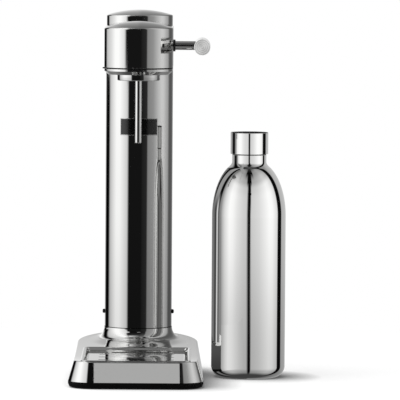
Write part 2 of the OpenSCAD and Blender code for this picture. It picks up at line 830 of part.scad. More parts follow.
module valve_block() color("#b5893f") {
    valve_z = valve_bore_top - socket_depth;
    difference() {
        at_column() {
            translate([0, 0, valve_z]) cylinder(h = valve_top - valve_z, r = valve_r);
            translate([0, 0, frame_top]) intersection() {
                cylinder(h = valve_flange_t, r = valve_flange_r);
                translate([-valve_flange_r, -valve_r, 0])
                    cube([2 * valve_flange_r, valve_flange_r + valve_r, valve_flange_t]);
            }
        }
        at_column(valve_z - past) cylinder(h = socket_depth + past, r = stem_r + 0.1);
        at_column(valve_bore_top - past) cylinder(h = valve_top, r = plunger_r + running);
        along_y(reach - valve_r, reach, 0, pipe_z, pipe_bore_r);
        along_y(reach - valve_r - past, reach - valve_r + 4, 0, pipe_z, pipe_r + snug);
    }
}

module valve_seal() color("#1a1a1a") {
    at_column(stem_top + seat) ring(stem_r, plunger_r + 1, seal_t);
}

module valve_plunger() color("#c8cacc") {
    at_column() {
        translate([0, 0, plunger_foot_z]) cylinder(h = plunger_top - 1 - plunger_foot_z, r = plunger_r);
        translate([0, 0, plunger_top - 1]) cylinder(h = 1, r1 = plunger_r, r2 = plunger_r - 1.2);
        translate([0, 0, spring_top]) cylinder(h = plunger_collar_t, r = plunger_collar_r);
    }
}

// One wire swept along a helix, with rings that face along it
module return_spring() color("#a4a8ab") {
    rings = spring_turns * 12;
    sides = 6;
    bottom = valve_top + spring_wire_r + 0.05;
    height = spring_top - valve_top - 2 * spring_wire_r - 0.1;
    points = [for (i = [0:rings], j = [0:sides - 1])
        let (
            turn = 360 * spring_turns * i / rings,
            side = 360 * j / sides,
            r = spring_r + spring_wire_r * cos(side)
        )
        [r * cos(turn), r * sin(turn), bottom + height * i / rings + spring_wire_r * sin(side)]];
    sheets = [for (i = [0:rings - 1], j = [0:sides - 1], half = [0, 1])
        let (a = i * sides + j, b = i * sides + (j + 1) % sides)
        half == 0 ? [a, b, b + sides] : [a, b + sides, a + sides]];
    start = [for (j = [1:sides - 2]) [0, j + 1, j]];
    finish = [for (j = [1:sides - 2]) [rings * sides, rings * sides + j, rings * sides + j + 1]];
    at_column() polyhedron(points = points, faces = concat(sheets, start, finish), convexity = 6);
}

module bearing(x0) {
    difference() {
        along_x(x0, x0 + lug_t, shaft_y, shaft_z, bearing_r);
        along_x(x0 - past, x0 + lug_t + past, shaft_y, shaft_z, shaft_r + running);
    }
}

module shaft_bearing_left() color("#e2dfd6") bearing(-lug_x - lug_t);

module shaft_bearing_right() color("#e2dfd6") bearing(lug_x);

module lever_bush() color("#121212") {
    difference() {
        union() {
            along_x(head_r, head_r + bush_out, shaft_y, shaft_z, bush_r);
            along_x(head_in_r - 0.8, head_r + 1, shaft_y, shaft_z, bush_r - 0.75);
        }
        along_x(0, handle_x, shaft_y, shaft_z, shaft_r + running);
    }
}

module lever_shaft() color("#c9cccf") {
    difference() {
        along_x(shaft_left, shaft_end, shaft_y, shaft_z, shaft_r);
        translate([shaft_left + 1, shaft_y, shaft_z]) rotate([0, 90, 0]) ring(shaft_r + past, shaft_r - 1, 1);
    }
}

module lever_cam() color("#8f9396") {
    cam_y = shaft_y + cam_throw * cos(cam_phase);
    cam_z = shaft_z + cam_throw * sin(cam_phase);
    difference() {
        union() {
            along_x(-cam_half, cam_half, cam_y, cam_z, cam_r);
            along_x(cam_half - past, cam_half + 5, shaft_y, shaft_z, shaft_r + 2);
        }
        along_x(-cam_half - past, cam_half + 6, shaft_y, shaft_z, shaft_r + snug);
    }
}

module shaft_clip() color("#707376") {
    translate([shaft_left + 1 + snug, shaft_y, shaft_z]) rotate([0, 90, 0]) difference() {
        ring(shaft_r + 2, shaft_r - 1 + snug, 1 - 2 * snug);
        translate([0, -2, -past]) cube([shaft_r * 2, 4, 3]);
    }
}

module lever_handle() color("#c9cccf") {
    difference() {
        union() {
            along_y(handle_y0 + handle_disc_t, handle_y1 - 1, handle_x, shaft_z, handle_r);
            translate([handle_x, handle_y1, shaft_z]) rotate([90, 0, 0])
                cylinder(h = 1, r1 = handle_r - 1, r2 = handle_r);
        }
        along_x(handle_x - handle_r - past, shaft_end + 0.1, shaft_y, shaft_z, shaft_r + snug);
    }
}

module handle_disc() color("#dcdcdc") {
    translate([handle_x, handle_y0 + handle_disc_t, shaft_z]) rotate([90, 0, 0]) {
        cylinder(h = handle_disc_t - 0.5, r = handle_r);
        translate([0, 0, handle_disc_t - 0.5]) cylinder(h = 0.5, r1 = handle_r, r2 = handle_r - 0.5);
    }
}

module rocker_pin() color("#a4a8ab") {
    along_x(-ear_x - ear_t, ear_x + ear_t, pivot_y, rocker_z, rocker_pin_r);
}

// Rocker: its front pad rests on the cam, and its back pad stands over the plunger
module rocker_arm() color("#8f9396") {
    beam_z = rocker_z - rocker_t / 2 + 2.5;
    beam_w = 2 * rocker_half - 4;
    front_y = shaft_y - 6;
    rear_y = reach + 5;
    difference() {
        union() {
            along_x(-rocker_half, rocker_half, pivot_y, rocker_z, rocker_pin_r + 2.2);
            translate([-beam_w / 2, front_y, beam_z]) cube([beam_w, rear_y - front_y, rocker_t - 2.5]);
            translate([-beam_w / 2, front_y, pad_z]) cube([beam_w, 14, beam_z - pad_z + past]);
            translate([-beam_w / 2, reach - 5, plunger_top + seat]) cube([beam_w, 10, beam_z - plunger_top]);
        }
        along_x(-rocker_half - past, rocker_half + past, pivot_y, rocker_z, rocker_pin_r + running);
    }
}

// Radius of the bottle's shoulder at a height over the straight side, for the skin or its inside
function shoulder_x(rise, skin) =
    bottle_r - shoulder_in + (shoulder_in - skin) * sqrt(max(0, 1 - pow(rise / (shoulder_h - skin), 2)));

module bottle_shell() color("#c9cccf") {
    steps = 24;
    rise_end = shoulder_top - shoulder_z;
    outer = [for (i = [0:steps]) let (a = rise_end * sin(90 * i / steps)) [shoulder_x(a, 0), shoulder_z + a]];
    inner = [for (i = [0:steps]) let (a = rise_end * sin(90 * (1 - i / steps)))
        [shoulder_x(a, bottle_wall), shoulder_z + a]];
    at_bottle() rotate_extrude($fn = 128)
        polygon(concat(
            arc(base_disc_r, bottle_round, bottle_round, -90, 0, 9),
            outer,
            inner,
            arc(base_disc_r, bottle_round, bottle_round - bottle_wall, 0, -90, 9)
        ));
}

module bottle_base() color("#b9bcbf") {
    rise = 4;
    at_bottle() rotate_extrude()
        polygon([
            [0, rise], [base_disc_r - 6, rise], [base_disc_r - 1, 0], [base_disc_r, 0],
            [base_disc_r, bottle_wall], [base_disc_r - 1, bottle_wall], [base_disc_r - 6, rise + bottle_wall],
            [0, rise + bottle_wall]
        ]);
}

module bottle_neck() color("#c9cccf") {
    at_bottle() {
        difference() {
            union() {
                translate([0, 0, shoulder_top]) cylinder(h = neck_h, r = neck_r);
                translate([0, 0, neck_top]) cylinder(h = finish_h, r = finish_r);
            }
            translate([0, 0, shoulder_top - past]) cylinder(h = finish_top, r = mouth_r);
        }
    }
}

module cap_liner() color("#1f1f1f") {
    at_bottle(finish_top + seat) cylinder(h = liner_t, r = finish_r - 0.4);
}

module bottle_cap() color("#c9cccf") {
    edge = 0.8;
    height = lid_in_z + lid_top - lid_z;
    at_bottle(lid_z) difference() {
        union() {
            cylinder(h = height - edge, r = lid_r);
            translate([0, 0, height - edge]) cylinder(h = edge, r1 = lid_r, r2 = lid_r - edge);
        }
        translate([0, 0, -past]) cylinder(h = lid_in_z - lid_z + past, r = finish_r + running);
    }
}

base_foot();
base_chassis();
base_housing();
base_screws();
drip_tray();
collar_gasket();
column_foot();
column_tube();
column_spine();
side_studs();
badge_plate();
cylinder_guide_lower();
cylinder_guide_upper();
gas_cylinder();
cylinder_valve();
head_frame();
under_cover();
seam_gasket();
head_shell();
upper_cap();
frame_screws();
bottle_socket();
socket_seal();
nozzle_block();
nozzle_tube();
nozzle_tip();
safety_valve();
release_valve();
gas_pipe();
pipe_nuts();
valve_block();
valve_seal();
valve_plunger();
return_spring();
shaft_bearing_left();
shaft_bearing_right();
lever_bush();
lever_shaft();
lever_cam();
shaft_clip();
lever_handle();
handle_disc();
rocker_pin();
rocker_arm();
bottle_shell();
bottle_base();
bottle_neck();
cap_liner();
bottle_cap();
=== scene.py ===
# %% [markdown]
# # A sparkling water maker in mirror-polished steel
# The machine is a round steel column on a low base, with a head that reaches over a drip tray,
# a lever at its side and a bottle of its own. Its mechanics come packed as a fixed frame of
# CAD bodies. This lesson dresses that frame: it makes smooth skins for what shows, and it
# gives every piece the finish of the real material.

# %% Load the frame
import bpy
import json
from math import acos, asin, atan2, cos, degrees, pi, radians, sin, sqrt, tan
from mathutils import Matrix, Vector

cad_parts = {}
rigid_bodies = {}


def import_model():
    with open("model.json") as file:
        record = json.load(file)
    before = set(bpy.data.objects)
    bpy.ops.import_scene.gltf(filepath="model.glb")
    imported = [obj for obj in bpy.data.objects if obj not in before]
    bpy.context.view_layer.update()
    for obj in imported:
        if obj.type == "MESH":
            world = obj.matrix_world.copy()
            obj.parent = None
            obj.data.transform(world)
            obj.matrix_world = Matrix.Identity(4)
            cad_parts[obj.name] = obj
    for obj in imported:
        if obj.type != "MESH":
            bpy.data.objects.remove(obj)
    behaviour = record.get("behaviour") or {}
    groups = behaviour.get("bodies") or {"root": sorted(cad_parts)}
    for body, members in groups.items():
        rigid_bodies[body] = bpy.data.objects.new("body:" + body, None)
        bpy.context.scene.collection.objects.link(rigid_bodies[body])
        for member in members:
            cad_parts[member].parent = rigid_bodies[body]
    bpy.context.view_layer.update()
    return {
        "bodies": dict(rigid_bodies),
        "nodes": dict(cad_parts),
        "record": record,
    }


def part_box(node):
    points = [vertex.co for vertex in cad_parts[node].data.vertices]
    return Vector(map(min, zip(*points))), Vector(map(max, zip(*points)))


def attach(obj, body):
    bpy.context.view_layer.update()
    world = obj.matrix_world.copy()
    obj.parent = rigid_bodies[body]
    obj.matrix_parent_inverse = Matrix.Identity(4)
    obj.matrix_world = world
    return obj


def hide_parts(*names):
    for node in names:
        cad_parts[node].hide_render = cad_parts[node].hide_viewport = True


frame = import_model()

# %% [markdown]
# ## Sizes come from the frame
# The CAD parts hold the real sizes, so the main ones are asked from the frame and aren't typed
# again. A skin that stands for a part starts from that part's box. Blender counts in metres, but
# such a machine is drawn in millimetres, so this lesson works in millimetres and turns them to
# metres only when a mesh is made.

# %% Measures of a CAD part
def measures(node):
    """A CAD part's lowest and highest corner at rest, in millimetres."""
    return [Vector([round(c * 1000, 3) for c in corner]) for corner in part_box(node)]


print("the column is", round((measures("column_tube")[1] - measures("column_tube")[0]).z, 1), "mm long")

# %% [markdown]
# ## Three helpers for materials
# Colours are picked as sRGB hex values, as a colour picker shows them, and Blender's shaders want
# them linear, so one function turns them. A second one starts a material. A third one adds a
# shader node of any kind, with its settings and its links, in one call. So each material reads
# as a short recipe.

# %% Colours and nodes
def linear(hex_colour):
    """An sRGB hex colour as linear red, green, blue and alpha."""
    parts = [int(hex_colour[i:i + 2], 16) / 255 for i in (1, 3, 5)]
    return [c / 12.92 if c <= 0.04045 else ((c + 0.055) / 1.055) ** 2.4 for c in parts] + [1.0]


def start(name):
    """A new material, its tree and its main shader."""
    material = bpy.data.materials.new(name)
    material.use_nodes = True
    return material, material.node_tree, material.node_tree.nodes["Principled BSDF"]


def add(tree, kind, inputs=None, **settings):
    """Adds a node. Each input is a plain value or another node's output."""
    node = tree.nodes.new(kind)
    for name, value in settings.items():
        setattr(node, name, value)
    for name, value in (inputs or {}).items():
        if isinstance(value, bpy.types.NodeSocket):
            tree.links.new(value, node.inputs[name])
        else:
            node.inputs[name].default_value = value
    return node


print("mid grey in linear light:", [round(c, 2) for c in linear("#808080")[:3]])

# %% [markdown]
# ## Mirror-polished stainless steel
# Nearly all of the machine is 304 stainless steel, polished to a mirror. A mirror has hardly any
# look of its own: it shows the studio. What gives it away as steel is a slight greyness, and the
# faint lines that the polishing wheel leaves, about 0.3 mm apart. The lines could be a bump, but
# on a mirror even a weak bump breaks up the reflections. So they change only the roughness: a
# noise, stretched along the piece, makes it a little glossier here and a little softer there.
# The plate's edge is spun instead: greyer and satin.

# %% Polished and spun steel
STEEL_TONE = "#dadad9"


def polished_steel(name, tone=STEEL_TONE, roughness=0.03, line_mm=0.3):
    material, tree, shader = start(name)
    shader.inputs["Base Color"].default_value = linear(tone)
    shader.inputs["Metallic"].default_value = 1.0
    coarser = 6   # The real lines are finer than a pixel, so they are drawn six times as wide
    place = add(tree, "ShaderNodeTexCoord")
    stretch = add(tree, "ShaderNodeMapping", {"Vector": place.outputs["Object"], "Scale": (1.0, 1.0, 0.05)})
    lines = add(tree, "ShaderNodeTexNoise", {"Vector": stretch.outputs["Vector"], "Detail": 2.0,
                                             "Scale": 1000 / line_mm / coarser})
    rough = add(tree, "ShaderNodeMapRange", {"Value": lines.outputs["Fac"], "From Min": 0.3, "From Max": 0.7,
                                             "To Min": roughness * 0.7, "To Max": roughness * 1.5})
    tree.links.new(rough.outputs["Result"], shader.inputs["Roughness"])
    return material


# Polished: a sharp mirror, a little darker than chrome
steel = polished_steel("mirror_polished_stainless_steel")
# Spun: satin, with soft reflections and wider lines
spun_steel = polished_steel("spun_stainless_steel", "#c9c9c8", 0.22, 0.5)
print("made", steel.name, "and", spun_steel.name)

# %% [markdown]
# ## Turned steel on the lever's end
# The disc at the lever's front end was faced on a lathe. The tool leaves rings round the middle,
# real ones about 0.15 mm apart. They scatter the light, which makes the disc pale and matt beside
# the mirror, and they gather it into two brighter fans, as turned faces do. An anisotropic metal
# could do the same, but it needs tangents, which the exported mesh doesn't keep. So the rings are
# a sine of the distance from the middle, and the fans are a painted highlight: a cosine of the
# angle round it that lightens the disc's colour in two opposite sectors.

# %% Turned steel
def turned_steel(name, centre, ring_mm=2.1):
    """Rings are drawn 2.1 mm apart, because real ones would be finer than a pixel."""
    material, tree, shader = start(name)
    # The rings scatter so widely that the face is closer to pale paint than to a mirror
    shader.inputs["Metallic"].default_value = 0.25
    shader.inputs["Roughness"].default_value = 0.5
    place = add(tree, "ShaderNodeTexCoord")
    away = add(tree, "ShaderNodeVectorMath", {0: place.outputs["Object"], 1: centre}, operation="SUBTRACT")
    level = add(tree, "ShaderNodeVectorMath", {0: away.outputs["Vector"], 1: (1, 0, 1)}, operation="MULTIPLY")
    far = add(tree, "ShaderNodeVectorMath", {0: level.outputs["Vector"]}, operation="LENGTH")
    rings = add(tree, "ShaderNodeMath", {0: far.outputs["Value"], 1: 2 * pi * 1000 / ring_mm},
                operation="MULTIPLY")
    wave = add(tree, "ShaderNodeMath", {0: rings.outputs["Value"]}, operation="SINE")
    tint = add(tree, "ShaderNodeMapRange", {"Value": wave.outputs["Value"], "From Min": -1.0, "From Max": 1.0,
                                            "To Min": 0.0, "To Max": 1.0})
    split = add(tree, "ShaderNodeSeparateXYZ", {0: away.outputs["Vector"]})
    around = add(tree, "ShaderNodeMath", {0: split.outputs["Z"], 1: split.outputs["X"]}, operation="ARCTAN2")
    # Twice the angle gives two fans, and the last number turns them to where the photo shows them
    twice = add(tree, "ShaderNodeMath", {0: around.outputs["Value"], 1: 2.0, 2: -1.2},
                operation="MULTIPLY_ADD")
    # The fans are a painted highlight: they lighten the colour in two opposite sectors, where a turned face
    # would gather the light
    painted_highlight_fans = add(tree, "ShaderNodeMath", {0: twice.outputs["Value"]}, operation="COSINE")
    rings_and_painted_highlight = add(tree, "ShaderNodeMath", {0: painted_highlight_fans.outputs["Value"], 1: 0.3, 2: tint.outputs["Result"]},
               operation="MULTIPLY_ADD", use_clamp=True)
    shade = add(tree, "ShaderNodeMix", {"Factor": rings_and_painted_highlight.outputs["Value"], "A": linear("#c2c2c1"),
                                        "B": linear("#eeeeed")}, data_type="RGBA")
    bump = add(tree, "ShaderNodeBump", {"Height": wave.outputs["Value"], "Distance": 0.00004,
                                        "Strength": 0.5})
    tree.links.new(shade.outputs["Result"], shader.inputs["Base Color"])
    tree.links.new(bump.outputs["Normal"], shader.inputs["Normal"])
    return material


handle_low, handle_high = measures("lever_handle")
HANDLE_R = (handle_high.x - handle_low.x) / 2
HANDLE_AT = ((handle_low.x + handle_high.x) / 2, 0.0, (handle_low.z + handle_high.z) / 2)
turned = turned_steel("lathe_turned_steel", [c / 1000 for c in HANDLE_AT])
print("rings round", [round(c, 1) for c in HANDLE_AT])

# %% [markdown]
# ## Rubber, silicone, enamel and plastic
# What isn't steel outside is black. The foot is EPDM rubber, which came out of a mould with a fine
# grain. The seams are silicone. The plate on the column is enamel under a clear gloss, and the
# studs and the lever's bush are acetal. All are one recipe: colour and roughness follow a noise
# that is scaled from the material's own grain. A photo of the grain would need a flat layout of
# each piece, while a noise in the piece's own space fits every shape.

# %% Black materials
def grained(name, dark, light, grain_mm, metallic=0.0, roughness=0.5, spread=0.1, bump_mm=0.0, coat=0.0,
            reflects=0.5):
    """Colour and roughness follow a grain of a real width, with a clear coat where there is one."""
    material, tree, shader = start(name)
    coarser = 2   # The real grain is finer than a pixel, so it is drawn twice as wide
    shader.inputs["Metallic"].default_value = metallic
    shader.inputs["Specular IOR Level"].default_value = reflects
    shader.inputs["Coat Weight"].default_value = coat
    shader.inputs["Coat Roughness"].default_value = 0.04
    place = add(tree, "ShaderNodeTexCoord")
    grain = add(tree, "ShaderNodeTexNoise", {"Vector": place.outputs["Object"], "Detail": 3.0,
                                             "Scale": 1000 / grain_mm / coarser})
    shade = add(tree, "ShaderNodeMix", {"Factor": grain.outputs["Fac"], "A": linear(dark),
                                        "B": linear(light)}, data_type="RGBA")
    rough = add(tree, "ShaderNodeMapRange", {"Value": grain.outputs["Fac"], "To Min": roughness - spread,
                                             "To Max": roughness + spread})
    tree.links.new(shade.outputs["Result"], shader.inputs["Base Color"])
    tree.links.new(rough.outputs["Result"], shader.inputs["Roughness"])
    if bump_mm:
        bump = add(tree, "ShaderNodeBump", {"Height": grain.outputs["Fac"], "Distance": bump_mm / 1000,
                                            "Strength": 0.6})
        tree.links.new(bump.outputs["Normal"], shader.inputs["Normal"])
    return material


# Moulded EPDM rubber: matt and deep black, with a grain that takes the last gloss away
rubber = grained("moulded_epdm_rubber", "#030303", "#080808", 0.8, roughness=0.7, bump_mm=0.05, reflects=0.12)
# Moulded silicone: smoother than the foot, so the thin seams keep a faint line of light
silicone = grained("moulded_silicone", "#030303", "#070707", 1.5, roughness=0.5, reflects=0.15)
# Fired enamel: deep black under a clear gloss that shows sharp highlights
enamel = grained("fired_black_enamel", "#050505", "#090909", 3.0, roughness=0.18, spread=0.03, coat=0.4)
# Turned acetal: satin black with soft highlights
acetal = grained("turned_black_acetal", "#0a0a0a", "#121212", 1.0, roughness=0.4, bump_mm=0.01)
print("made", ", ".join(m.name for m in (rubber, silicone, enamel, acetal)))

# %% [markdown]
# ## The materials inside
# Inside sit brass fittings, a copper gas pipe, an aluminium gas cylinder, zinc-plated brackets and
# nylon bearings. They show only when the head or the base is opened, and the same recipe serves
# them. A metal's colour is the colour of its reflections, so it stands in the same place as the
# paint of the others, and the metal keeps the shader's own IOR.

# %% Metals and plastic inside
# Moulded nylon: waxy white
nylon = grained("moulded_white_nylon", "#d9d4c6", "#e6e2d6", 2.0, roughness=0.45)
# Pressed and zinc-plated steel: cool grey with a faint cloudiness
mild_steel = grained("zinc_plated_steel", "#8f9295", "#a4a7aa", 2.5, metallic=1.0, roughness=0.38,
                     bump_mm=0.01)
# Turned brass: warm yellow, fairly bright
brass = grained("turned_brass", "#b08a45", "#c8a257", 1.2, metallic=1.0, roughness=0.28)
# Drawn copper: the gas pipe's salmon red
copper = grained("drawn_copper", "#b87046", "#cf8a60", 2.0, metallic=1.0, roughness=0.3)
# Drawn aluminium: the pale, slightly frosted wall of the gas cylinder
aluminium = grained("drawn_aluminium", "#a9adb1", "#bcc0c4", 1.5, metallic=1.0, roughness=0.35, bump_mm=0.01)
print("made", len(bpy.data.materials), "materials")

# %% [markdown]
# ## Dress the CAD parts
# Every CAD part names a material slot in the frame's record. Parts that sit inside, or whose shape
# is right as it is, such as the rubber foot, stay and only get the finish of that slot. Where a
# part shows as a mirror, a smoother skin takes its place further on.

# %% Finishes of the CAD parts
finishes = {
    "polished_steel": steel, "brushed_steel": spun_steel, "plain_steel": mild_steel, "black_rubber": rubber,
    "silicone": silicone, "black_plate": enamel, "black_plastic": acetal, "bearing_plastic": nylon,
    "brass": brass, "cylinder_paint": aluminium, "copper_pipe": copper,
}
slot_of = {s["node"]: s["material_slot"] for s in frame["record"]["subparts"]}
for node, thing in frame["nodes"].items():
    thing.material_slots[0].material = finishes[slot_of[node]]
print("dressed", len(frame["nodes"]), "CAD parts")

# %% [markdown]
# ## How the skins are made
# A mirror shows every facet, so the CAD meshes are too coarse for what shows. Subdivision would
# round them, but it also rounds what has to stay sharp. The skins here are computed instead: rings
# of points that lie on the true surface, joined by quads. One function joins rings, and one makes
# the mesh, shades it smooth, keeps the real edges sharp and lets it ride on its CAD body. A modifier
# lets the large faces lead the shading, so that flat places stay flat in the reflections.

# %% Rings and meshes
def band(rings, closed=True):
    """Quads between rings that have the same number of points."""
    n = len(rings[0])
    span = n if closed else n - 1
    return [(r * n + i, r * n + (i + 1) % n, (r + 1) * n + (i + 1) % n, (r + 1) * n + i)
            for r in range(len(rings) - 1) for i in range(span)]


def flat(rings):
    """All points of the rings in one list."""
    return [p for ring in rings for p in ring]


def piece(name, points, faces, body, material, replaces=(), sharp=35):
    """A mesh object that rides on a body. Points are in millimetres."""
    mesh = bpy.data.meshes.new(name)
    mesh.from_pydata([Vector(p) / 1000 for p in points], [], faces)
    mesh.validate()
    mesh.shade_smooth()
    mesh.set_sharp_from_angle(angle=radians(sharp))
    mesh.materials.append(material)
    thing = bpy.data.objects.new(name, mesh)
    bpy.context.collection.objects.link(thing)
    even = thing.modifiers.new("large faces lead", "WEIGHTED_NORMAL")
    even.mode = "FACE_AREA"
    even.keep_sharp = True
    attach(thing, body)
    if replaces:
        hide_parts(*replaces)
    return thing


print("a band between two rings of 4 points has", len(band([range(4), range(4)])), "quads")

# %% [markdown]
# ## The base
# The base is pressed from one sheet: leaning walls, a top that rises gently towards the back,
# and a collar that is drawn up round the column with a hollow flare. Its walls lean less at the
# round back than at the front. It could be a cage of a few faces under a subdivision modifier,
# but then the sizes would only be near the drawing's. So the top's height is a formula: a long
# hollow curve for the plate, an arc for the flare, and a soft join between the two.

# %% The base's measures
FOOT_LOW, FOOT_HIGH = measures("base_foot")
FOOT_TOP, FRONT_Y = FOOT_HIGH.z, FOOT_LOW.y
CORNER_R, BACK_R = 28.0, 73.5
CORNER_X, CORNER_Y, BACK_Y = FOOT_HIGH.x - CORNER_R, FRONT_Y + CORNER_R, FOOT_HIGH.y - BACK_R
PLATE_FRONT_Z = 30.0
WALL_LEAN, BACK_LEAN = 6.6, 4.1
LEAN, LEAN_BACK = (lean / (PLATE_FRONT_Z - FOOT_TOP) for lean in (WALL_LEAN, BACK_LEAN))
COLUMN_LOW, COLUMN_HIGH = measures("column_tube")
COLUMN_R, COLUMN_Y = COLUMN_HIGH.x, (COLUMN_LOW.y + COLUMN_HIGH.y) / 2
COLLAR_R, COLLAR_TOP = COLUMN_R + 0.4, measures("base_housing")[1].z
print("base", round(FOOT_HIGH.x * 2), "mm wide and", round(FOOT_HIGH.y - FRONT_Y), "mm long")

# %% Height of the base's top
CURVE_R, LEVEL_Y = 2300.0, FRONT_Y + 2.0
FLARE_R, FLARE_END = 13.5, 78
SOFT_JOIN = 2.0


def plate_rise(y):
    """How far the long hollow curve has risen since where it is level, near the front."""
    return CURVE_R - sqrt(CURVE_R ** 2 - (y - LEVEL_Y) ** 2)


def plate_z(y):
    """The top plate's height. Its front edge lies where the leaning wall ends."""
    return PLATE_FRONT_Z + plate_rise(y) - plate_rise(FRONT_Y + WALL_LEAN)


def flare_z(out):
    """The flare's arc at a distance from the collar, which runs out straight after 78 degrees."""
    turned_out = FLARE_R * (1 - cos(radians(FLARE_END)))
    if out < turned_out:
        return COLLAR_TOP - FLARE_R * sin(acos(max(-1.0, 1 - max(out, 0) / FLARE_R)))
    return COLLAR_TOP - FLARE_R * sin(radians(FLARE_END)) - (out - turned_out) * tan(radians(90 - FLARE_END))


def skin_z(x, y):
    """The higher of plate and flare, with a soft join between them."""
    plate, flare = plate_z(y), flare_z(sqrt(x * x + (y - COLUMN_Y) ** 2) - COLLAR_R)
    return max(plate, flare) + max(SOFT_JOIN - abs(plate - flare), 0) ** 2 / (4 * SOFT_JOIN)


print("the plate rises to", round(plate_z(COLUMN_Y), 1), "mm under the column")

# %% Outline of the base
CORNER_STEPS, BACK_STEPS, SIDE_STEPS, FRONT_STEPS = 22, 44, 30, 16


def base_outline(z):
    """Points round the base at a height: front, corner's arc, side and round back, then mirrored."""
    front, back = CORNER_R - LEAN * (z - FOOT_TOP), BACK_R - LEAN_BACK * (z - FOOT_TOP)
    away = Vector((CORNER_X, CORNER_Y - BACK_Y))
    tilt = degrees(acos((back - front) / away.length)) + degrees(atan2(away.y, away.x))
    corner = [(CORNER_X + front * cos(radians(a)), CORNER_Y + front * sin(radians(a)))
              for a in [-90 + (tilt + 90) * i / CORNER_STEPS for i in range(CORNER_STEPS + 1)]]
    half = [(back * cos(radians(a)), BACK_Y + back * sin(radians(a)))
            for a in [tilt + (90 - tilt) * i / BACK_STEPS for i in range(BACK_STEPS + 1)]]
    side = [tuple(Vector(corner[-1]).lerp(Vector(half[0]), i / SIDE_STEPS)) for i in range(1, SIDE_STEPS)]
    run = [(corner[0][0] * (i / FRONT_STEPS), corner[0][1]) for i in range(FRONT_STEPS)]
    path = run + corner + side + half
    return path + [(-x, y) for x, y in reversed(path[1:-1])]


print("outline points:", len(base_outline(FOOT_TOP)))

# %% [markdown]
# ## The base's skin
# Each line up the wall ends where it meets the top. That point has no simple formula, because the
# wall leans while the top rises, so it is found by halving the step again and again. From there a
# small curve stands for the sheet's bend, and the rings then run inwards over the plate and up
# the flare to the collar, closer and closer together where the flare is steep.

# %% The walls and the bend
WALL_STEPS, TOP_STEPS, EDGE = 8, 72, 1.3


def wall_top(i):
    """The height at which one line up the wall meets the top."""
    low, high = PLATE_FRONT_Z - 6, COLLAR_TOP
    for _ in range(22):
        mid = (low + high) / 2
        x, y = base_outline(mid)[i]
        low, high = (mid, high) if mid < skin_z(x, y) else (low, mid)
    return low


def wall_point(i, top, step):
    """A point on one line up the wall."""
    z = FOOT_TOP + (top - FOOT_TOP) * step / WALL_STEPS
    return (*base_outline(z)[i], z)


tops = [wall_top(i) for i in range(len(base_outline(FOOT_TOP)))]
wall = [[wall_point(i, top, step) for i, top in enumerate(tops)] for step in range(WALL_STEPS)]
corner = [Vector(wall_point(i, top, WALL_STEPS)) for i, top in enumerate(tops)]
print("walls are", round(min(tops) - FOOT_TOP, 1), "to", round(max(tops) - FOOT_TOP, 1), "mm high")

# %% The bend and the top
def toward_collar(c):
    """The direction from the column's axis, and how far out the bend ends."""
    radial = Vector((c.x, c.y - COLUMN_Y, 0))
    return radial.normalized(), max(radial.length - EDGE, COLLAR_R + (radial.length - COLLAR_R) * 0.5)


inner = [toward_collar(c) for c in corner]


def bend_ring(t):
    """One ring of the bend, from the wall at 0 to the top at 1."""
    ring = []
    for low, c, (unit, reach) in zip(wall[-1], corner, inner):
        before = c + (Vector(low) - c).normalized() * EDGE
        after = Vector((unit.x * reach, COLUMN_Y + unit.y * reach, 0))
        after.z = skin_z(after.x, after.y)
        ring.append(tuple((1 - t) ** 2 * before + 2 * t * (1 - t) * c + t * t * after))
    return ring


def top_ring(k):
    """One ring of the top. Rings lie closer together towards the collar."""
    ring = []
    for unit, reach in inner:
        out = COLLAR_R + (reach - COLLAR_R) * (1 - k / TOP_STEPS) ** 2
        x, y = unit.x * out, COLUMN_Y + unit.y * out
        ring.append((x, y, skin_z(x, y) if k < TOP_STEPS else COLLAR_TOP))
    return ring


skin = wall + [bend_ring(t) for t in (0.0, 0.12, 0.25, 0.38, 0.5, 0.62, 0.75, 0.88, 1.0)]
skin += [top_ring(k) for k in range(1, TOP_STEPS + 1)]
print("rings in the base's skin:", len(skin), "of", len(skin[0]), "points")

# %% [markdown]
# ## The well for the tray
# The tray sits in a well in the top. A boolean would cut it, but it leaves thin triangles round
# the edge, and a mirror shows them. So the faces that lie over the well are taken out, and the
# points round the hole are drawn sideways onto the well's outline, which leaves clean quads. The
# tray lies at the plate's own slope, so one matrix puts a flat outline onto the plate.

# %% The tray's place and outline
TRAY_W, TRAY_L, TRAY_BACK_Y, TRAY_R = measures("drip_tray")[1].x * 2, 126.0, 8.0, 8.0
TRAY_TILT = atan2(plate_z(TRAY_BACK_Y) - plate_z(TRAY_BACK_Y - TRAY_L), TRAY_L)
ON_PLATE = Matrix.Translation((0, TRAY_BACK_Y, plate_z(TRAY_BACK_Y))) @ Matrix.Rotation(TRAY_TILT, 4, "X")


def tray_outline(inset, z, turns=10):
    """The tray's outline, drawn in by an inset, in the base's frame."""
    r, half_w, half_l = max(TRAY_R - inset, 0.8), TRAY_W / 2 - inset, TRAY_L / 2 - inset
    ring = []
    for sx, sy, first in ((1, 1, 0), (-1, 1, 90), (-1, -1, 180), (1, -1, 270)):
        for i in range(turns + 1):
            a = radians(first + 90 * i / turns)
            ring.append((sx * (half_w - r) + r * cos(a), sy * (half_l - r) + r * sin(a) - TRAY_L / 2, z))
    return [tuple(ON_PLATE @ Vector(p)) for p in ring]


print("the tray slopes by", round(degrees(TRAY_TILT), 2), "degrees")

# %% Open the well
WELL_INSET, WELL_TURNS = 2.0, 16
well = [Vector(p).xy for p in tray_outline(WELL_INSET, 0, WELL_TURNS)]
well_sides = list(zip(well, well[1:] + well[:1]))


def nearest_on_well(p):
    """The nearest place on the well's outline."""
    best = None
    for a, b in well_sides:
        t = max(0.0, min(1.0, (p - a).dot(b - a) / max((b - a).length_squared, 1e-9)))
        q = a + (b - a) * t
        if best is None or (p - q).length < (p - best).length:
            best = q
    return best


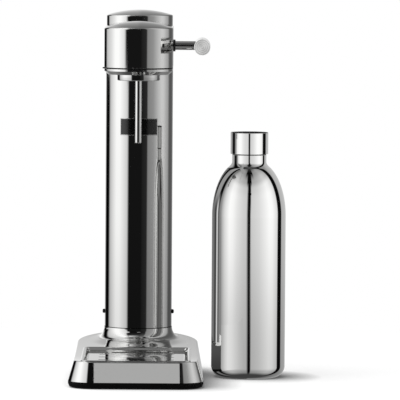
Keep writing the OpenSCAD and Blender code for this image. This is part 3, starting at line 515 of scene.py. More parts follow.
def in_well(x, y):
    """Whether a line from this place to the right crosses the outline an odd number of times."""
    inside = False
    for a, b in well_sides:
        if (a.y > y) != (b.y > y) and x < a.x + (y - a.y) / (b.y - a.y) * (b.x - a.x):
            inside = not inside
    return inside


def open_well(points, faces, first):
    """Takes out the faces over the well, and draws the points round the hole onto its outline."""
    inside = {i for i in range(first, len(points)) if in_well(points[i][0], points[i][1])}
    kept = [f for f in faces if not all(i in inside for i in f)]
    for i in {i for f in kept for i in f if i in inside}:
        q = nearest_on_well(Vector(points[i]).xy)
        points[i] = (q.x, q.y, skin_z(q.x, q.y))
    return kept


whole_rings = 20   # The walls, the bend and the top's first three rings lie outside the well
points = flat(skin)
faces = open_well(points, band(skin), whole_rings * len(skin[0]))
print("the well took out", len(band(skin)) - len(faces), "faces")

# %% The well's pan and the finished base
def join(points, faces, rings, outward=True, cap=False):
    """Adds rings to a mesh, with their faces turned outward or inward, and a cap on the last ring."""
    first = len(points)
    points += flat(rings)
    more = [tuple(first + i for i in f) for f in band(rings)]
    if cap:
        more.append(tuple(range(len(points) - len(rings[0]), len(points))))
    faces += more if outward else [tuple(reversed(f)) for f in more]


pan = [tray_outline(WELL_INSET + inset, z, WELL_TURNS) for inset, z in ((0, 0.0), (0, -4.4), (1.2, -5.2))]
join(points, faces, pan, cap=True)
base = piece("base_skin", points, faces, "machine", steel, ["base_housing"], sharp=50)
print("base skin has", len(base.data.polygons), "faces")

# %% [markdown]
# ## The drip tray
# The tray is a shallow dish, pressed from thin sheet. Its rim is a rounded bead that lies on the top
# plate, its inner wall slopes down softly, and five low round ribs on the floor keep the bottle
# out of the drips. The bead could be a bevelled curve, but a profile carried round the tray's
# outline gives even quads and meets the floor without a seam. The sheet's underside and the
# part that hangs in the well close it from below.

# %% Rim, floor and underside
rim = [(0.0, 0.05), (0.12, 0.5), (0.45, 0.88), (1.0, 1.12), (1.8, 1.2), (2.6, 1.12), (3.4, 0.8), (4.1, 0.22),
       (4.7, -0.45), (5.3, -1.12), (5.9, -1.72), (6.6, -2.22), (7.4, -2.52), (8.3, -2.6)]
underside = [(0.0, 0.05), (2.4, 0.05), (2.4, -3.6)]
tray_points, tray_faces = [], []
join(tray_points, tray_faces, [tray_outline(inset, z) for inset, z in rim], cap=True)
join(tray_points, tray_faces, [tray_outline(inset, z) for inset, z in underside], outward=False, cap=True)
print("the tray's rim has", len(rim), "rings")

# %% Ribs on the floor
RIB_COUNT, RIB_PITCH, RIB_R, RIB_H, RIB_STEPS = 5, 24.0, 2.0, 0.3, 10
FLOOR_Z, RIM_W, RIB_END = -2.61, 4.8, 14.0
rib_half = TRAY_W / 2 - RIM_W - RIB_END
half_turn = degrees(acos((RIB_R - RIB_H) / RIB_R))
# Along a rib: where, and how full its section is there. The ends run out in two steps
stations = [(-rib_half, 0.05), (-rib_half + 0.3, 0.6), (-rib_half + 1.0, 1.0),
            (rib_half - 1.0, 1.0), (rib_half - 0.3, 0.6), (rib_half, 0.05)]


def rib(y):
    """The rows of points of one rib: a low arc at each station."""
    turns = [radians(90 + half_turn - 2 * half_turn * i / RIB_STEPS) for i in range(RIB_STEPS + 1)]
    low_arc = [(RIB_R * cos(a), RIB_R * sin(a) - RIB_R + RIB_H) for a in turns]
    return [[tuple(ON_PLATE @ Vector((x, y + full * across, FLOOR_Z + full * up))) for across, up in low_arc]
            for x, full in stations]


for k in range(RIB_COUNT):
    rows = rib(-TRAY_L / 2 + (k - (RIB_COUNT - 1) / 2) * RIB_PITCH)
    first = len(tray_points)
    tray_points += flat(rows)
    tray_faces += [tuple(first + i for i in reversed(f)) for f in band(rows, closed=False)]
tray = piece("drip_tray_skin", tray_points, tray_faces, "tray", steel, ["drip_tray"], sharp=60)
print("the tray has", RIB_COUNT, "ribs and", len(tray.data.polygons), "faces")

# %% [markdown]
# ## The column
# The column is a plain polished tube between a thin black seal at the collar and the seam under
# the head. A tube is a lathe job: one profile turned round the axis. Blender's Screw modifier can
# do that too, but as a function the same lathe also lays parts along the lever's axis, and the
# points stay exact. Two black studs with rounded heads sit at the column's sides.

# %% The lathe
TURN_STEPS = 192
UPRIGHT = Matrix.Identity(3)
TO_THE_RIGHT = Matrix.Rotation(radians(90), 3, "Y")
TO_THE_FRONT = Matrix.Rotation(radians(90), 3, "X")


def lathe(name, profile, body, material, at=(0, 0, 0), lie=UPRIGHT, steps=TURN_STEPS, replaces=(), sharp=35):
    """Turns a profile of (radius, height) points, which runs upwards outside. A radius of 0 closes it."""
    rings = [[(r * cos(2 * pi * i / steps), r * sin(2 * pi * i / steps), z) for i in range(steps)]
             for r, z in profile if r > 0]
    points, faces = flat(rings), band(rings)
    if profile[0][0] == 0:
        points.append((0, 0, profile[0][1]))
        faces += [(len(points) - 1, (i + 1) % steps, i) for i in range(steps)]
    if profile[-1][0] == 0:
        last = (len(rings) - 1) * steps
        points.append((0, 0, profile[-1][1]))
        faces += [(len(points) - 1, last + i, last + (i + 1) % steps) for i in range(steps)]
    return piece(name, [Vector(at) + lie @ Vector(p) for p in points], faces, body, material, replaces, sharp)


print("one step of the lathe is", round(2 * pi * COLUMN_R / TURN_STEPS, 2), "mm on the column")

# %% Column and studs
COLUMN_Z, SEAM_Z, TUBE_IN_R = COLUMN_LOW.z, COLUMN_HIGH.z, COLUMN_R - 1.5
tube = [(TUBE_IN_R, COLUMN_Z), (COLUMN_R - 0.2, COLUMN_Z), (COLUMN_R, COLUMN_Z + 0.2), (COLUMN_R, SEAM_Z),
        (TUBE_IN_R, SEAM_Z)]
lathe("column_skin", tube, "machine", steel, (0, COLUMN_Y, 0), replaces=["column_tube"])

stud_low, stud_high = measures("side_studs")
stud_z = (stud_low.z + stud_high.z) / 2
stud = [(0, 0.0), (2.4, 0.0), (2.4, 1.6), (2.0, 2.15), (1.4, 2.5), (0, 2.6)]
right_stud = [(r, COLUMN_R + out) for r, out in stud]
left_stud = [(r, -along) for r, along in reversed(right_stud)]
for side, profile in (("left", left_stud), ("right", right_stud)):
    lathe("side_stud_" + side, profile, "machine", acetal, (0, COLUMN_Y, stud_z), TO_THE_RIGHT, 32,
          ["side_studs"])
print("column is", round(SEAM_Z - COLUMN_Z, 1), "mm long, studs at", round(stud_z, 1), "mm")

# %% [markdown]
# ## The plate on the column
# A thin enamelled plate is bent round the column's front and stays bare. It shows a fine pale line
# round its edge, where the enamel ends and the metal comes through. A texture could draw that
# line, but two plates, one a little larger under the other, give it a real edge that catches
# the light.

# %% Plate
def curved_plate(name, inset, out, material, lip, steps=24):
    """A plate bent round the column, with its edges turned back to it."""
    low, high = measures("badge_plate")
    turn = (high.x - inset) / (COLUMN_R + out)
    rings = []
    for r, grow in ((COLUMN_R, 0.0), (COLUMN_R + out - lip, 0.0), (COLUMN_R + out, -lip)):
        reach = turn + grow / r
        turns = [-reach + 2 * reach * i / steps for i in range(steps + 1)]
        lower = [(r * sin(a), COLUMN_Y - r * cos(a), low.z + inset - grow) for a in turns]
        rings.append(lower + [(x, y, high.z - inset + grow) for x, y, z in reversed(lower)])
    points, faces = flat(rings), band(rings)
    last, n = 2 * len(rings[0]), len(rings[0]) - 1
    faces += [(last + i, last + i + 1, last + n - 1 - i, last + n - i) for i in range(steps)]
    return piece(name, points, faces, "machine", material, ["badge_plate"])


curved_plate("plate_edge", 0.0, 0.42, spun_steel, 0.15)
curved_plate("plate_face", 0.8, 0.6, enamel, 0.1)
print("plate hung", round(SEAM_Z - measures("badge_plate")[1].z, 1), "mm under the seam")

# %% [markdown]
# ## The head
# Seen from above, the head is a stadium: two round ends joined by straight sides. Its wall
# stands straight, turns over a small radius and runs into a low crown. The same section goes all
# the way round, so the skin is that section carried along the stadium. The crown is a flat arc of
# a large circle, which makes the soft grey gradient on top. The round cap over the column has
# a crown of the same kind and is turned.

# %% Section and outline
def arc(cx, cz, r, first, last, steps=8):
    """Points of an arc in a profile, from one angle in degrees to another."""
    turns = [radians(first + (last - first) * i / steps) for i in range(steps + 1)]
    return [(cx + r * cos(a), cz + r * sin(a)) for a in turns]


def crown(r, wall_z, bend, slope, steps=18):
    """A section's rounded edge and its low crown, from the wall to the middle."""
    edge_x, edge_z = r - bend + bend * sin(radians(slope)), wall_z + bend * cos(radians(slope))
    big_r = edge_x / sin(radians(slope))
    over = [radians(slope * (1 - i / steps)) for i in range(1, steps + 1)]
    return arc(r - bend, wall_z, bend, 0, 90 - slope, 10) + [
        (max(big_r * sin(a), 0.0), edge_z + big_r * (cos(a) - cos(radians(slope)))) for a in over]


def stadium(r, z, stop_y=None, steps=96):
    """Points round the stadium at a radius, or from side to side round its front only."""
    turns = [radians(180 * i / steps) for i in range(steps + 1)]
    front = [(-r * cos(a), -r * sin(a), z) for a in turns]
    if stop_y is not None:
        return [(-r, stop_y, z)] + front + [(r, stop_y, z)]
    return front + [(r * cos(a), COLUMN_Y + r * sin(a), z) for a in turns]


print("a stadium has", len(stadium(1, 0)), "points")

# %% Head and upper cap
HEAD_LOW, HEAD_HIGH = measures("head_shell")
HEAD_R, HEAD_Z, HEAD_WALL_H = HEAD_HIGH.x, HEAD_LOW.z, 43.2
section = [(HEAD_R - 1.2, HEAD_Z), (HEAD_R - 0.2, HEAD_Z), (HEAD_R, HEAD_Z + 0.2)]
section += crown(HEAD_R, HEAD_Z + HEAD_WALL_H, 2.2, 21)
section[-1] = (0.02, section[-1][1])   # The last ring stays open a hair, so that one face can close it
head_points, head_faces = [], []
join(head_points, head_faces, [stadium(r, z) for r, z in section], cap=True)
piece("head_skin", head_points, head_faces, "machine", steel, ["head_shell"])

CAP_LOW, CAP_HIGH = measures("upper_cap")
CAP_R, CAP_WALL_H = CAP_HIGH.x, 11.2
upper_cap = [(CAP_R - 1.2, CAP_LOW.z), (CAP_R, CAP_LOW.z)] + crown(CAP_R, CAP_LOW.z + CAP_WALL_H, 1.6, 17.4)
lathe("upper_cap_skin", upper_cap, "machine", steel, (0, COLUMN_Y, 0), replaces=["upper_cap"])
print("crowns are", round(section[-1][1], 1), "and", round(upper_cap[-1][1], 1), "mm high")

# %% [markdown]
# ## The cover under the head
# A pressed cover closes the head from below. It hangs only under the front part, because behind it
# the column comes up, so its rings run from side to side round the front and stop there. Its
# lower edge slopes inwards to a flat floor, and two narrow faces close its ends.

# %% Cover
cover_low, cover_high = measures("under_cover")
r, top, foot = cover_high.x, cover_high.z, cover_low.z
cover = [(r - 1.6, top), (r - 0.2, top), (r, top - 0.2), (r, top - 2.6), (r - 0.2, top - 2.8),
         (r - 0.6, top - 2.8), (r - 3.6, foot + 0.8), (r - 4.5, foot)]
rings = [stadium(out, z, cover_high.y) for out, z in cover]
points, n = flat(rings), len(rings[0])
faces = [tuple(reversed(f)) for f in band(rings, closed=False)]
faces.append(tuple(reversed(range(len(points) - n, len(points)))))
faces.append(tuple(k * n for k in reversed(range(len(cover)))))
faces.append(tuple(k * n + n - 1 for k in range(len(cover))))
piece("under_cover_skin", points, faces, "machine", steel, ["under_cover"])
print("cover has", len(faces), "faces")

# %% [markdown]
# ## Socket and nozzle
# The bottle's mouth goes up into a flanged ring under the head, and a thin tube inside it blows
# the gas in. Both are turned parts, and a turned part always has its edges broken, so each
# corner of the profiles has a small chamfer. That chamfer is what draws a bright line.

# %% Socket and nozzle
socket_low, socket_high = measures("bottle_socket")
r, foot, seat, roof = socket_high.x, socket_low.z, cover_low.z, measures("socket_seal")[1].z
nozzle_low, nozzle_high = measures("nozzle_tube")
nozzle_r, tip = nozzle_high.x, nozzle_low.z
socket = [(8.1, roof), (16.9, roof), (16.9, foot + 0.6), (17.1, foot + 0.2), (17.6, foot), (r - 0.8, foot),
          (r - 0.3, foot + 0.3), (r, foot + 1.0), (r, seat - 0.3), (r - 0.3, seat), (19.0, seat)]
lathe("bottle_socket_skin", socket, "machine", steel, replaces=["bottle_socket"], steps=160)
nozzle = [(2.4, tip + 0.4), (2.6, tip), (3.3, tip), (3.6, tip + 0.3), (nozzle_r, tip + 0.9),
          (nozzle_r, nozzle_high.z)]
lathe("nozzle_skin", nozzle, "machine", steel, replaces=["nozzle_tube"], steps=64)
print("nozzle hangs", round(SEAM_Z - tip), "mm under the seam")

# %% [markdown]
# ## The lever
# The lever is a steel shaft that comes out of the head through a black bush, with a round bar
# across its end. It turns about the shaft, so the shaft, the bar and the bar's disc ride on the
# lever's body, and only the bush stays with the machine. Cylinders with a bevel would do from
# far away, but all of these are turned parts whose edges are broken in more than one step, so
# they come from the lathe too, laid along the shaft or along the bar.

# %% Shaft and bush
shaft_low, shaft_high = measures("lever_shaft")
bush_low, bush_high = measures("lever_bush")
SHAFT_R, BUSH_R = 5.0, 6.75
on_shaft = (0, (shaft_low.y + shaft_high.y) / 2, HANDLE_AT[2])
inside, out = HEAD_R - 0.2, bush_high.x
bush = [(BUSH_R - 0.75, inside), (BUSH_R, inside), (BUSH_R, out - 0.5), (BUSH_R - 0.15, out - 0.15),
        (BUSH_R - 0.45, out), (SHAFT_R + 0.1, out)]
lathe("bush_skin", bush, "machine", acetal, on_shaft, TO_THE_RIGHT, 96, ["lever_bush"])
shaft = [(SHAFT_R, shaft_low.x), (SHAFT_R, shaft_high.x)]
lathe("shaft_skin", shaft, "lever", steel, on_shaft, TO_THE_RIGHT, 96, ["lever_shaft"])
print("shaft stands out", round(shaft_high.x - HEAD_R, 1), "mm")

# %% Bar and disc
r, back, front, face = HANDLE_R, -handle_high.y, -handle_low.y, -measures("handle_disc")[0].y
bar = [(0, back), (r - 1.1, back), (r - 0.6, back + 0.15), (r - 0.2, back + 0.5), (r, back + 1.0),
       (r, front - 0.2), (r - 0.2, front)]
lathe("handle_skin", bar, "lever", steel, HANDLE_AT, TO_THE_FRONT, 128, ["lever_handle"])
disc = [(r, front), (r, face - 0.5), (r - 0.15, face - 0.2), (r - 0.4, face - 0.05), (r - 0.7, face),
        (0, face)]
lathe("handle_disc_skin", disc, "lever", turned, HANDLE_AT, TO_THE_FRONT, 128, ["handle_disc"])
print("lever bar is", round(face - back), "mm long")

# %% [markdown]
# ## The bottle
# The bottle is drawn and spun from one piece of steel: a rounded lower edge with a hollow foot,
# straight sides, a long elliptical shoulder and a short neck. It has no seam, so it is one
# profile from the middle of the foot to the mouth and a little way down inside. The shoulder
# follows an ellipse as a formula, and a small curve eases it into the neck.

# %% The bottle's profile
shell_low, shell_high = measures("bottle_shell")
neck_high = measures("bottle_neck")[1]
BOTTLE_AT = ((shell_low.x + shell_high.x) / 2, (shell_low.y + shell_high.y) / 2, 0.0)
BOTTLE_R, NECK_R = (shell_high.x - shell_low.x) / 2, neck_high.x - BOTTLE_AT[0]
SIDE_TOP, SHOULDER_IN, SHOULDER_H, SHOULDER_TOP = 183.0, 33.5, 62.0, shell_high.z
THREAD_H, EASE, FOOT_R = 21.0, 3.0, 13.0
MOUTH_Z = neck_high.z
NECK_TOP = MOUTH_Z - THREAD_H
turns = [i * asin((SHOULDER_TOP - SIDE_TOP) / SHOULDER_H) / 60 for i in range(61)]
ellipse = [(BOTTLE_R - SHOULDER_IN + SHOULDER_IN * cos(a), SIDE_TOP + SHOULDER_H * sin(a)) for a in turns]
shoulder = [p for p in ellipse if p[1] < SHOULDER_TOP - EASE]
start_of_ease, middle, end_of_ease = (Vector(p) for p in (shoulder[-1], (NECK_R, SHOULDER_TOP),
                                                          (NECK_R, SHOULDER_TOP + EASE)))
ease = [tuple((1 - t) ** 2 * start_of_ease + 2 * t * (1 - t) * middle + t * t * end_of_ease)
        for t in [i / 10 for i in range(1, 11)]]
hollow_foot = [(0, 4.0), (22.7, 4.0), (25.0, 2.6), (27.0, 0.7), (BOTTLE_R - FOOT_R, 0.0)]
lower_edge = arc(BOTTLE_R - FOOT_R, FOOT_R, FOOT_R, -90, 0, 24)[1:]
mouth = [(NECK_R, NECK_TOP - 0.9), (NECK_R - 0.3, NECK_TOP - 0.6), (16.5, NECK_TOP - 0.6),
         (16.5, MOUTH_Z - 0.4), (16.1, MOUTH_Z), (14.2, MOUTH_Z), (14.2, SHOULDER_TOP)]
bottle = hollow_foot + lower_edge + shoulder + ease + mouth
lathe("bottle_skin", bottle, "bottle", steel, BOTTLE_AT, steps=256, sharp=40,
      replaces=["bottle_shell", "bottle_neck", "bottle_base"])
print("the bottle's profile has", len(bottle), "points")

# %% [markdown]
# ## The bottle's cap and the dark ring under it
# The cap is a plain turned cylinder with a thin wall and broken edges. Under it, a thin black
# silicone ring round the neck draws a fine dark line just below the cap's edge. The ring
# stays with the bottle when the cap is lifted.

# %% Cap and the dark ring under it
lid_low, lid_high = measures("bottle_cap")
r, lid_foot, lid_top = (lid_high.x - lid_low.x) / 2, lid_low.z, lid_high.z
lid = [(16.6, lid_top - 2), (16.6, lid_foot + 0.3), (16.9, lid_foot), (r - 0.2, lid_foot),
       (r, lid_foot + 0.2), (r, lid_top - 0.7), (r - 0.15, lid_top - 0.25), (r - 0.5, lid_top), (0, lid_top)]
lathe("cap_skin", lid, "cap", steel, BOTTLE_AT, replaces=["bottle_cap"])
# A thin black ring round the neck, which draws the fine dark line under the cap's edge
seal = [(18.6, NECK_TOP - 0.7), (19.0, NECK_TOP - 0.7), (19.2, NECK_TOP - 0.3), (19.0, lid_foot),
        (18.6, lid_foot)]
lathe("seal_ring_skin", seal, "bottle", silicone, BOTTLE_AT, steps=160)
print("bottle with cap is", round(lid_top, 1), "mm high")

# %% [markdown]
# ## The camera
# The photo was taken from far away with a long lens, so upright lines stay almost parallel. The
# camera's place and lens come from fitting one camera to the edges of the base, the column, the
# head and the bottle. It looks down by 3.5 degrees and is rolled by 0.4 of a degree.

# %% Camera
FOCAL_PIXELS, PICTURE_PIXELS, SENSOR_MM = 4717, 400, 36.0
camera_data = bpy.data.cameras.new("camera")
camera_data.sensor_width = SENSOR_MM
camera_data.lens = FOCAL_PIXELS * SENSOR_MM / PICTURE_PIXELS
camera_data.clip_end = 300.0
camera = bpy.data.objects.new("camera", camera_data)
bpy.context.collection.objects.link(camera)
camera.location = (0.070, -5.304, 0.529)
looks_down, roll = Matrix.Rotation(radians(90 - 3.525), 3, "X"), Matrix.Rotation(radians(0.38), 3, "Z")
camera.rotation_euler = (looks_down @ roll).to_euler()
bpy.context.scene.camera = camera
print("lens", round(camera_data.lens, 1), "mm")

# %% [markdown]
# ## The studio's cards
# Polished steel looks the way its surroundings look, so the studio is built as photographers
# build it: white cards, black flags and grey cloth round the object, which only its reflections
# show. A picture of a studio could be wrapped round the scene, but painted cards stay sharp, and
# each can be moved by one number. The machine and the bottle show different cards in the photo,
# because each was lit by its own. Light linking does the same here: a card shines only on the
# pieces of its group. So the pieces are sorted first: the machine, the bottle and its cap.

# %% Groups that see different cards
def receivers(name, bodies):
    """A group of all mesh objects that ride on some of the bodies."""
    group = bpy.data.collections.new(name)
    wanted = {frame["bodies"][b] for b in bodies}
    for thing in list(bpy.data.objects):
        up = thing
        while up is not None and up not in wanted:
            up = up.parent
        if up is not None and thing.type == "MESH":
            group.objects.link(thing)
    return group


bottle_bodies, cap_bodies = ["bottle", "liner"], ["cap"]
machine_bodies = [b for b in frame["bodies"] if b not in bottle_bodies + cap_bodies]
machine_group = receivers("seen by the machine", machine_bodies)
bottle_group = receivers("seen by the bottle", bottle_bodies)
cap_group = receivers("seen by the cap", cap_bodies)
both_group = receivers("seen by bottle and cap", bottle_bodies + cap_bodies)

# %% [markdown]
# ## How a card gets its grey
# A card's grey is chosen as it should show in the steel, from 0 to 255. The steel takes a little of
# the light away, so the card gives that much more. All cards are painted by two numbers: greys that
# follow one value, such as the direction round the object, and storeys that follow another one,
# such as the height. Between two storeys the greys melt into each other.

# %% Painted greys
STEEL_SHARE = linear(STEEL_TONE)[0]


def card(grey):
    """The light that a card gives, so that it shows in the steel as this grey of 0 to 255."""
    v = linear("#%02x%02x%02x" % (grey, grey, grey))[0] / STEEL_SHARE
    return (v, v, v, 1.0)


def painted(tree, along, first, last, up, storeys, unit):
    """Greys that follow one value from stop to stop, and another one from storey to storey."""
    share = add(tree, "ShaderNodeMapRange", {"Value": along, "From Min": first * unit,
                                             "From Max": last * unit})
    shown, below = None, None
    for level, cards in storeys:
        ramp = add(tree, "ShaderNodeValToRGB", {"Fac": share.outputs["Result"]})
        stops = ramp.color_ramp.elements
        stops.remove(stops[-1])
        for i, (place, grey) in enumerate(cards):
            position = (place - first) / (last - first)
            stop = stops[0] if i == 0 else stops.new(position)
            stop.position = position
            stop.color = card(grey)
        if shown is None:
            shown = ramp.outputs["Color"]
        else:
            rise = add(tree, "ShaderNodeMapRange",
                       {"Value": up, "From Min": below * unit, "From Max": level * unit},
                       interpolation_type="SMOOTHSTEP")
            melt = add(tree, "ShaderNodeMix", {"Factor": rise.outputs["Result"], "A": shown,
                                               "B": ramp.outputs["Color"]}, data_type="RGBA")
            shown = melt.outputs["Result"]
        below = level
    return shown


def hang(thing, material, group):
    """Lets nothing but the reflections of one group see a card."""
    material.cycles.emission_sampling = "NONE"
    thing.data.materials.append(material)
    thing.light_linking.receiver_collection = group
    thing.visible_camera = thing.visible_diffuse = thing.visible_shadow = thing.visible_volume_scatter = False


print("a white card gives", round(card(255)[0], 2), "so that it shows as 1.0 in the steel")

# %% [markdown]
# ## The domes
# The large cards are painted on domes, spheres with a radius of 80 to 100 m round the object. So
# far away, a card stands in the same direction from every point of the steel, and only the
# steel's own curve bends it. That is how a cylinder comes to show straight upright bands. Storeys
# are heights over the horizon in degrees, and the greys follow the direction: 0 is towards the
# camera, 90 is to the right, and 180 is behind the object.

# %% A dome
def dome(name, centre, radius, storeys, group, see_through=True):
    """A sphere with cards. A dome inside another one lets that one's light through."""
    middle = Vector(centre) / 1000
    bpy.ops.mesh.primitive_uv_sphere_add(segments=64, ring_count=32, radius=radius, location=middle)
    sphere = bpy.context.object
    sphere.name = name
    sphere.data.shade_smooth()
    material, tree, shader = start(name + "_cards")
    tree.nodes.remove(shader)   # A card only gives light
    place = add(tree, "ShaderNodeTexCoord")
    aim = add(tree, "ShaderNodeVectorMath", {0: place.outputs["Object"]}, operation="NORMALIZE")
    split = add(tree, "ShaderNodeSeparateXYZ", {0: aim.outputs["Vector"]})
    front = add(tree, "ShaderNodeMath", {0: split.outputs["Y"], 1: -1.0}, operation="MULTIPLY")
    around = add(tree, "ShaderNodeMath", {0: split.outputs["X"], 1: front.outputs["Value"]},
                 operation="ARCTAN2")
    height = add(tree, "ShaderNodeMath", {0: split.outputs["Z"]}, operation="ARCSINE")
    shown = painted(tree, around.outputs["Value"], -180, 180, height.outputs["Value"], storeys, pi / 180)
    light = add(tree, "ShaderNodeEmission", {"Color": shown, "Strength": 1.0})
    if see_through:
        clear = add(tree, "ShaderNodeBsdfTransparent")
        light = add(tree, "ShaderNodeAddShader", {0: light.outputs["Emission"], 1: clear.outputs["BSDF"]})
    tree.links.new(light.outputs[0], tree.nodes["Material Output"].inputs["Surface"])
    hang(sphere, material, group)
    return sphere


print("domes are ready to be hung")

# %% [markdown]
# ## Cards round the machine
# The column and the head show the same cards, so these bands line up in the photo: dark cloth
# behind on the left, a white card on the left, a black flag in front, and on the right a grey sheet
# that brightens outwards, with dim cloth behind it. The flag is a little wider for the head than
# for the column, so two sets of edges are kept. An upright wall shows the studio at the height
# from which the camera looks at it, but below the horizon. A wall that leans shows it twice as
# far up as it leans, so each part of the machine has storeys of its own.

# %% The machine's dome
def walls(behind, beside, cloth, flag, black=20, share=1.0):
    """The cards at one height. Cloth and flag are given by their two edges."""
    (c0, c1), (f0, f1) = cloth, flag
    back_left = [(-180, behind * 0.95), (-178.6, behind * 1.03), (-172, behind * 1.03), (-165, beside)]
    dark_cloth = [(max(c0 - 5, -180), beside * 0.6), (c0, 4), (c1, 4), (c1 + 3, 60), (c1 + 11, 190)]
    white_card = [(-102, 222), (-84, 252), (-70, 253), (-50, 225), (f0 - 3, 208)]
    black_flag = [(f0 + 3, black), (8, black), (12, black + 10), (f1 - 3, black + 20)]
    grey_sheet = [(f1 + 1, 127), (50, 143), (72, 186), (84, 200), (94, 195), (107, 169), (116, 158)]
    dim_cloth = [(125, 92), (134, 80), (150, 90), (164, 90 + behind * 0.2), (180, behind * 0.95)]
    stops = back_left + dark_cloth + white_card + black_flag + grey_sheet + dim_cloth
    return [(angle, min(255, int(grey * share))) for angle, grey in sorted(stops)]


column_edges, head_edges = ((-149, -128), (-38, 30)), ((-158, -140), (-44, 30))
machine_storeys = [
    (-75, [(0, 60)]),
    (-40, [(0, 120)]),
    (-12, walls(200, 180, *column_edges, share=0.84)),
    # The column: the camera looks down on its foot by 5.3 degrees, and on its top by 1.9
    (-5.3, walls(200, 180, *column_edges, share=0.89)),
    (-3.5, walls(200, 180, *column_edges, share=0.97)),
    (-1.94, walls(200, 180, *column_edges)),
    # The head, just over the seam
    (-1.86, walls(200, 175, *head_edges)),
    (1.0, walls(205, 220, *head_edges)),
    # The base's top, which is nearly level, and the middle of the crowns
    (4, walls(214, 235, *column_edges)),
    (9, walls(188, 250, *column_edges)),
    (14, walls(184, 250, (-147, -131), (-39, 30), 18)),
    (19, walls(163, 245, (-146, -133), (-37, 29), 18)),
    # The base's walls, which lean by 10 to 16 degrees
    (24, walls(146, 235, (-149, -135), (-31, 28), 14)),
    (28, walls(137, 220, (-151, -137), (-31, 28), 14)),
    (32, walls(126, 160, (-154, -141), (-41, 29), 22)),
    # The front edges of the crowns, and the flare, which turns all the way up
    (42, walls(105, 110, (-159, -149), (-45, 29), 30)),
    (55, walls(112, 200, (-176, -174), (-52, 30), 52)),
    (66, walls(110, 180, (-176, -174), (-58, 30), 70)),
    (76, [(0, 112)]),
]
dome("machine_dome", (0, 60, 200), 100.0, machine_storeys, machine_group, see_through=False)
print("machine's dome has", len(machine_storeys), "storeys of up to", len(machine_storeys[4][1]), "stops")

# %% [markdown]
# ## Cards round the bottle and the cap
# The bottle stood between two white cards with a thin gap in front, which draws the thin dark
# line down its middle. A black flag at each side draws the two dark lines near its edges, and
# the grey behind shows outside them. On the shoulder the gap widens upwards, because the shoulder
# looks up between the cards. The cap's lines sit a little differently from the bottle's, so it
# has a dome of its own, with a dark rim just over the horizon that draws the cap's dark top edge.

# %% The domes of bottle and cap
def round_bottle(gap, share=1.0):
    """The cards round the bottle at one height, with a gap between the two white ones."""
    g0, g1 = gap
    left_side = [(-180, 108), (-165, 108), (-160, 40), (-142, 40), (-138, 150), (-123, 150)]
    left_flag = [(-120, 12), (-106, 12)]
    left_card = [(-102, 120), (-92, 185), (-82, 220), (-64, 253), (-52, 247), (-38, 228), (-20, 210),
                 (g0 - 5, 202)]
    gap_between = [(g0 - 2, 134), (g0, 8), (g1, 8), (g1 + 2, 203)]
    right_card = [(32, 219), (50, 237), (68, 253), (80, 249), (90, 234), (101, 216)]
    right_flag = [(103, 10), (121, 10)]
    right_side = [(124, 178), (180, 186)]
    stops = left_side + left_flag + left_card + gap_between + right_card + right_flag + right_side
    return [(angle, int(grey * share)) for angle, grey in stops]


bottle_storeys = [
    # The rounded lower edge, which looks down
    (-70, [(0, 60)]),
    (-35, round_bottle((-1, 6), 0.7)),
    # The straight side, from the foot up
    (-5.7, round_bottle((-1, 6), 0.84)),
    (-3.45, round_bottle((-3.5, 3.5))),
    # The shoulder, which looks up more and more
    (19, round_bottle((-3, 5))),
    (33, round_bottle((-2.5, 6), 0.96)),
    (46, round_bottle((-7, 10), 0.8)),
    (68, round_bottle((-20, 24), 0.64)),
    (88, [(0, 50)]),
]
dome("bottle_dome", (125.5, 28, 150), 90.0, bottle_storeys, bottle_group)

left_of_cap = [(-180, 40), (-176, 40), (-170, 165), (-140, 160), (-128, 118), (-121, 6), (-102, 6)]
cap_card_left = [(-97, 120), (-91, 200), (-83, 232), (-67, 255), (-53, 252), (-40, 233), (-27, 219),
                 (-10, 212)]
cap_gap = [(-6, 180), (-4, 8), (3, 8), (6, 205)]
cap_card_right = [(22, 219), (35, 236), (48, 253), (62, 255), (78, 242), (86, 225)]
right_of_cap = [(91, 10), (116, 10), (121, 150), (128, 175), (140, 190), (180, 150)]
round_cap = left_of_cap + cap_card_left + cap_gap + cap_card_right + right_of_cap
dark_rim = [(1.5, [(0, 25)]), (5, [(0, 25)])]
cap_storeys = [(-70, [(0, 15)]), (-50, [(0, 90)]), (-20, round_cap), (-6, round_cap), (-1, round_cap)]
cap_storeys += dark_rim + [(9, [(0, 150)]), (60, [(0, 120)])]
dome("cap_dome", (125.5, 28, 260), 80.0, cap_storeys, cap_group)
print("bottle's dome has", len(bottle_storeys), "storeys, the cap's has", len(cap_storeys))

# %% [markdown]
# ## Small cards near the object
# Two mirrors that stand side by side show each other. In the photo the bottle shows only a pale,
# quiet machine, so small cards stand between the two. They are close, so they do show at
# different places from different points of the steel, as real ones would. Each is painted on
# one side and clear from the other, so that it hides nothing from the machine behind it. One more
# card hangs 9 m away, high in front of the base, and only the base's front wall shows it.

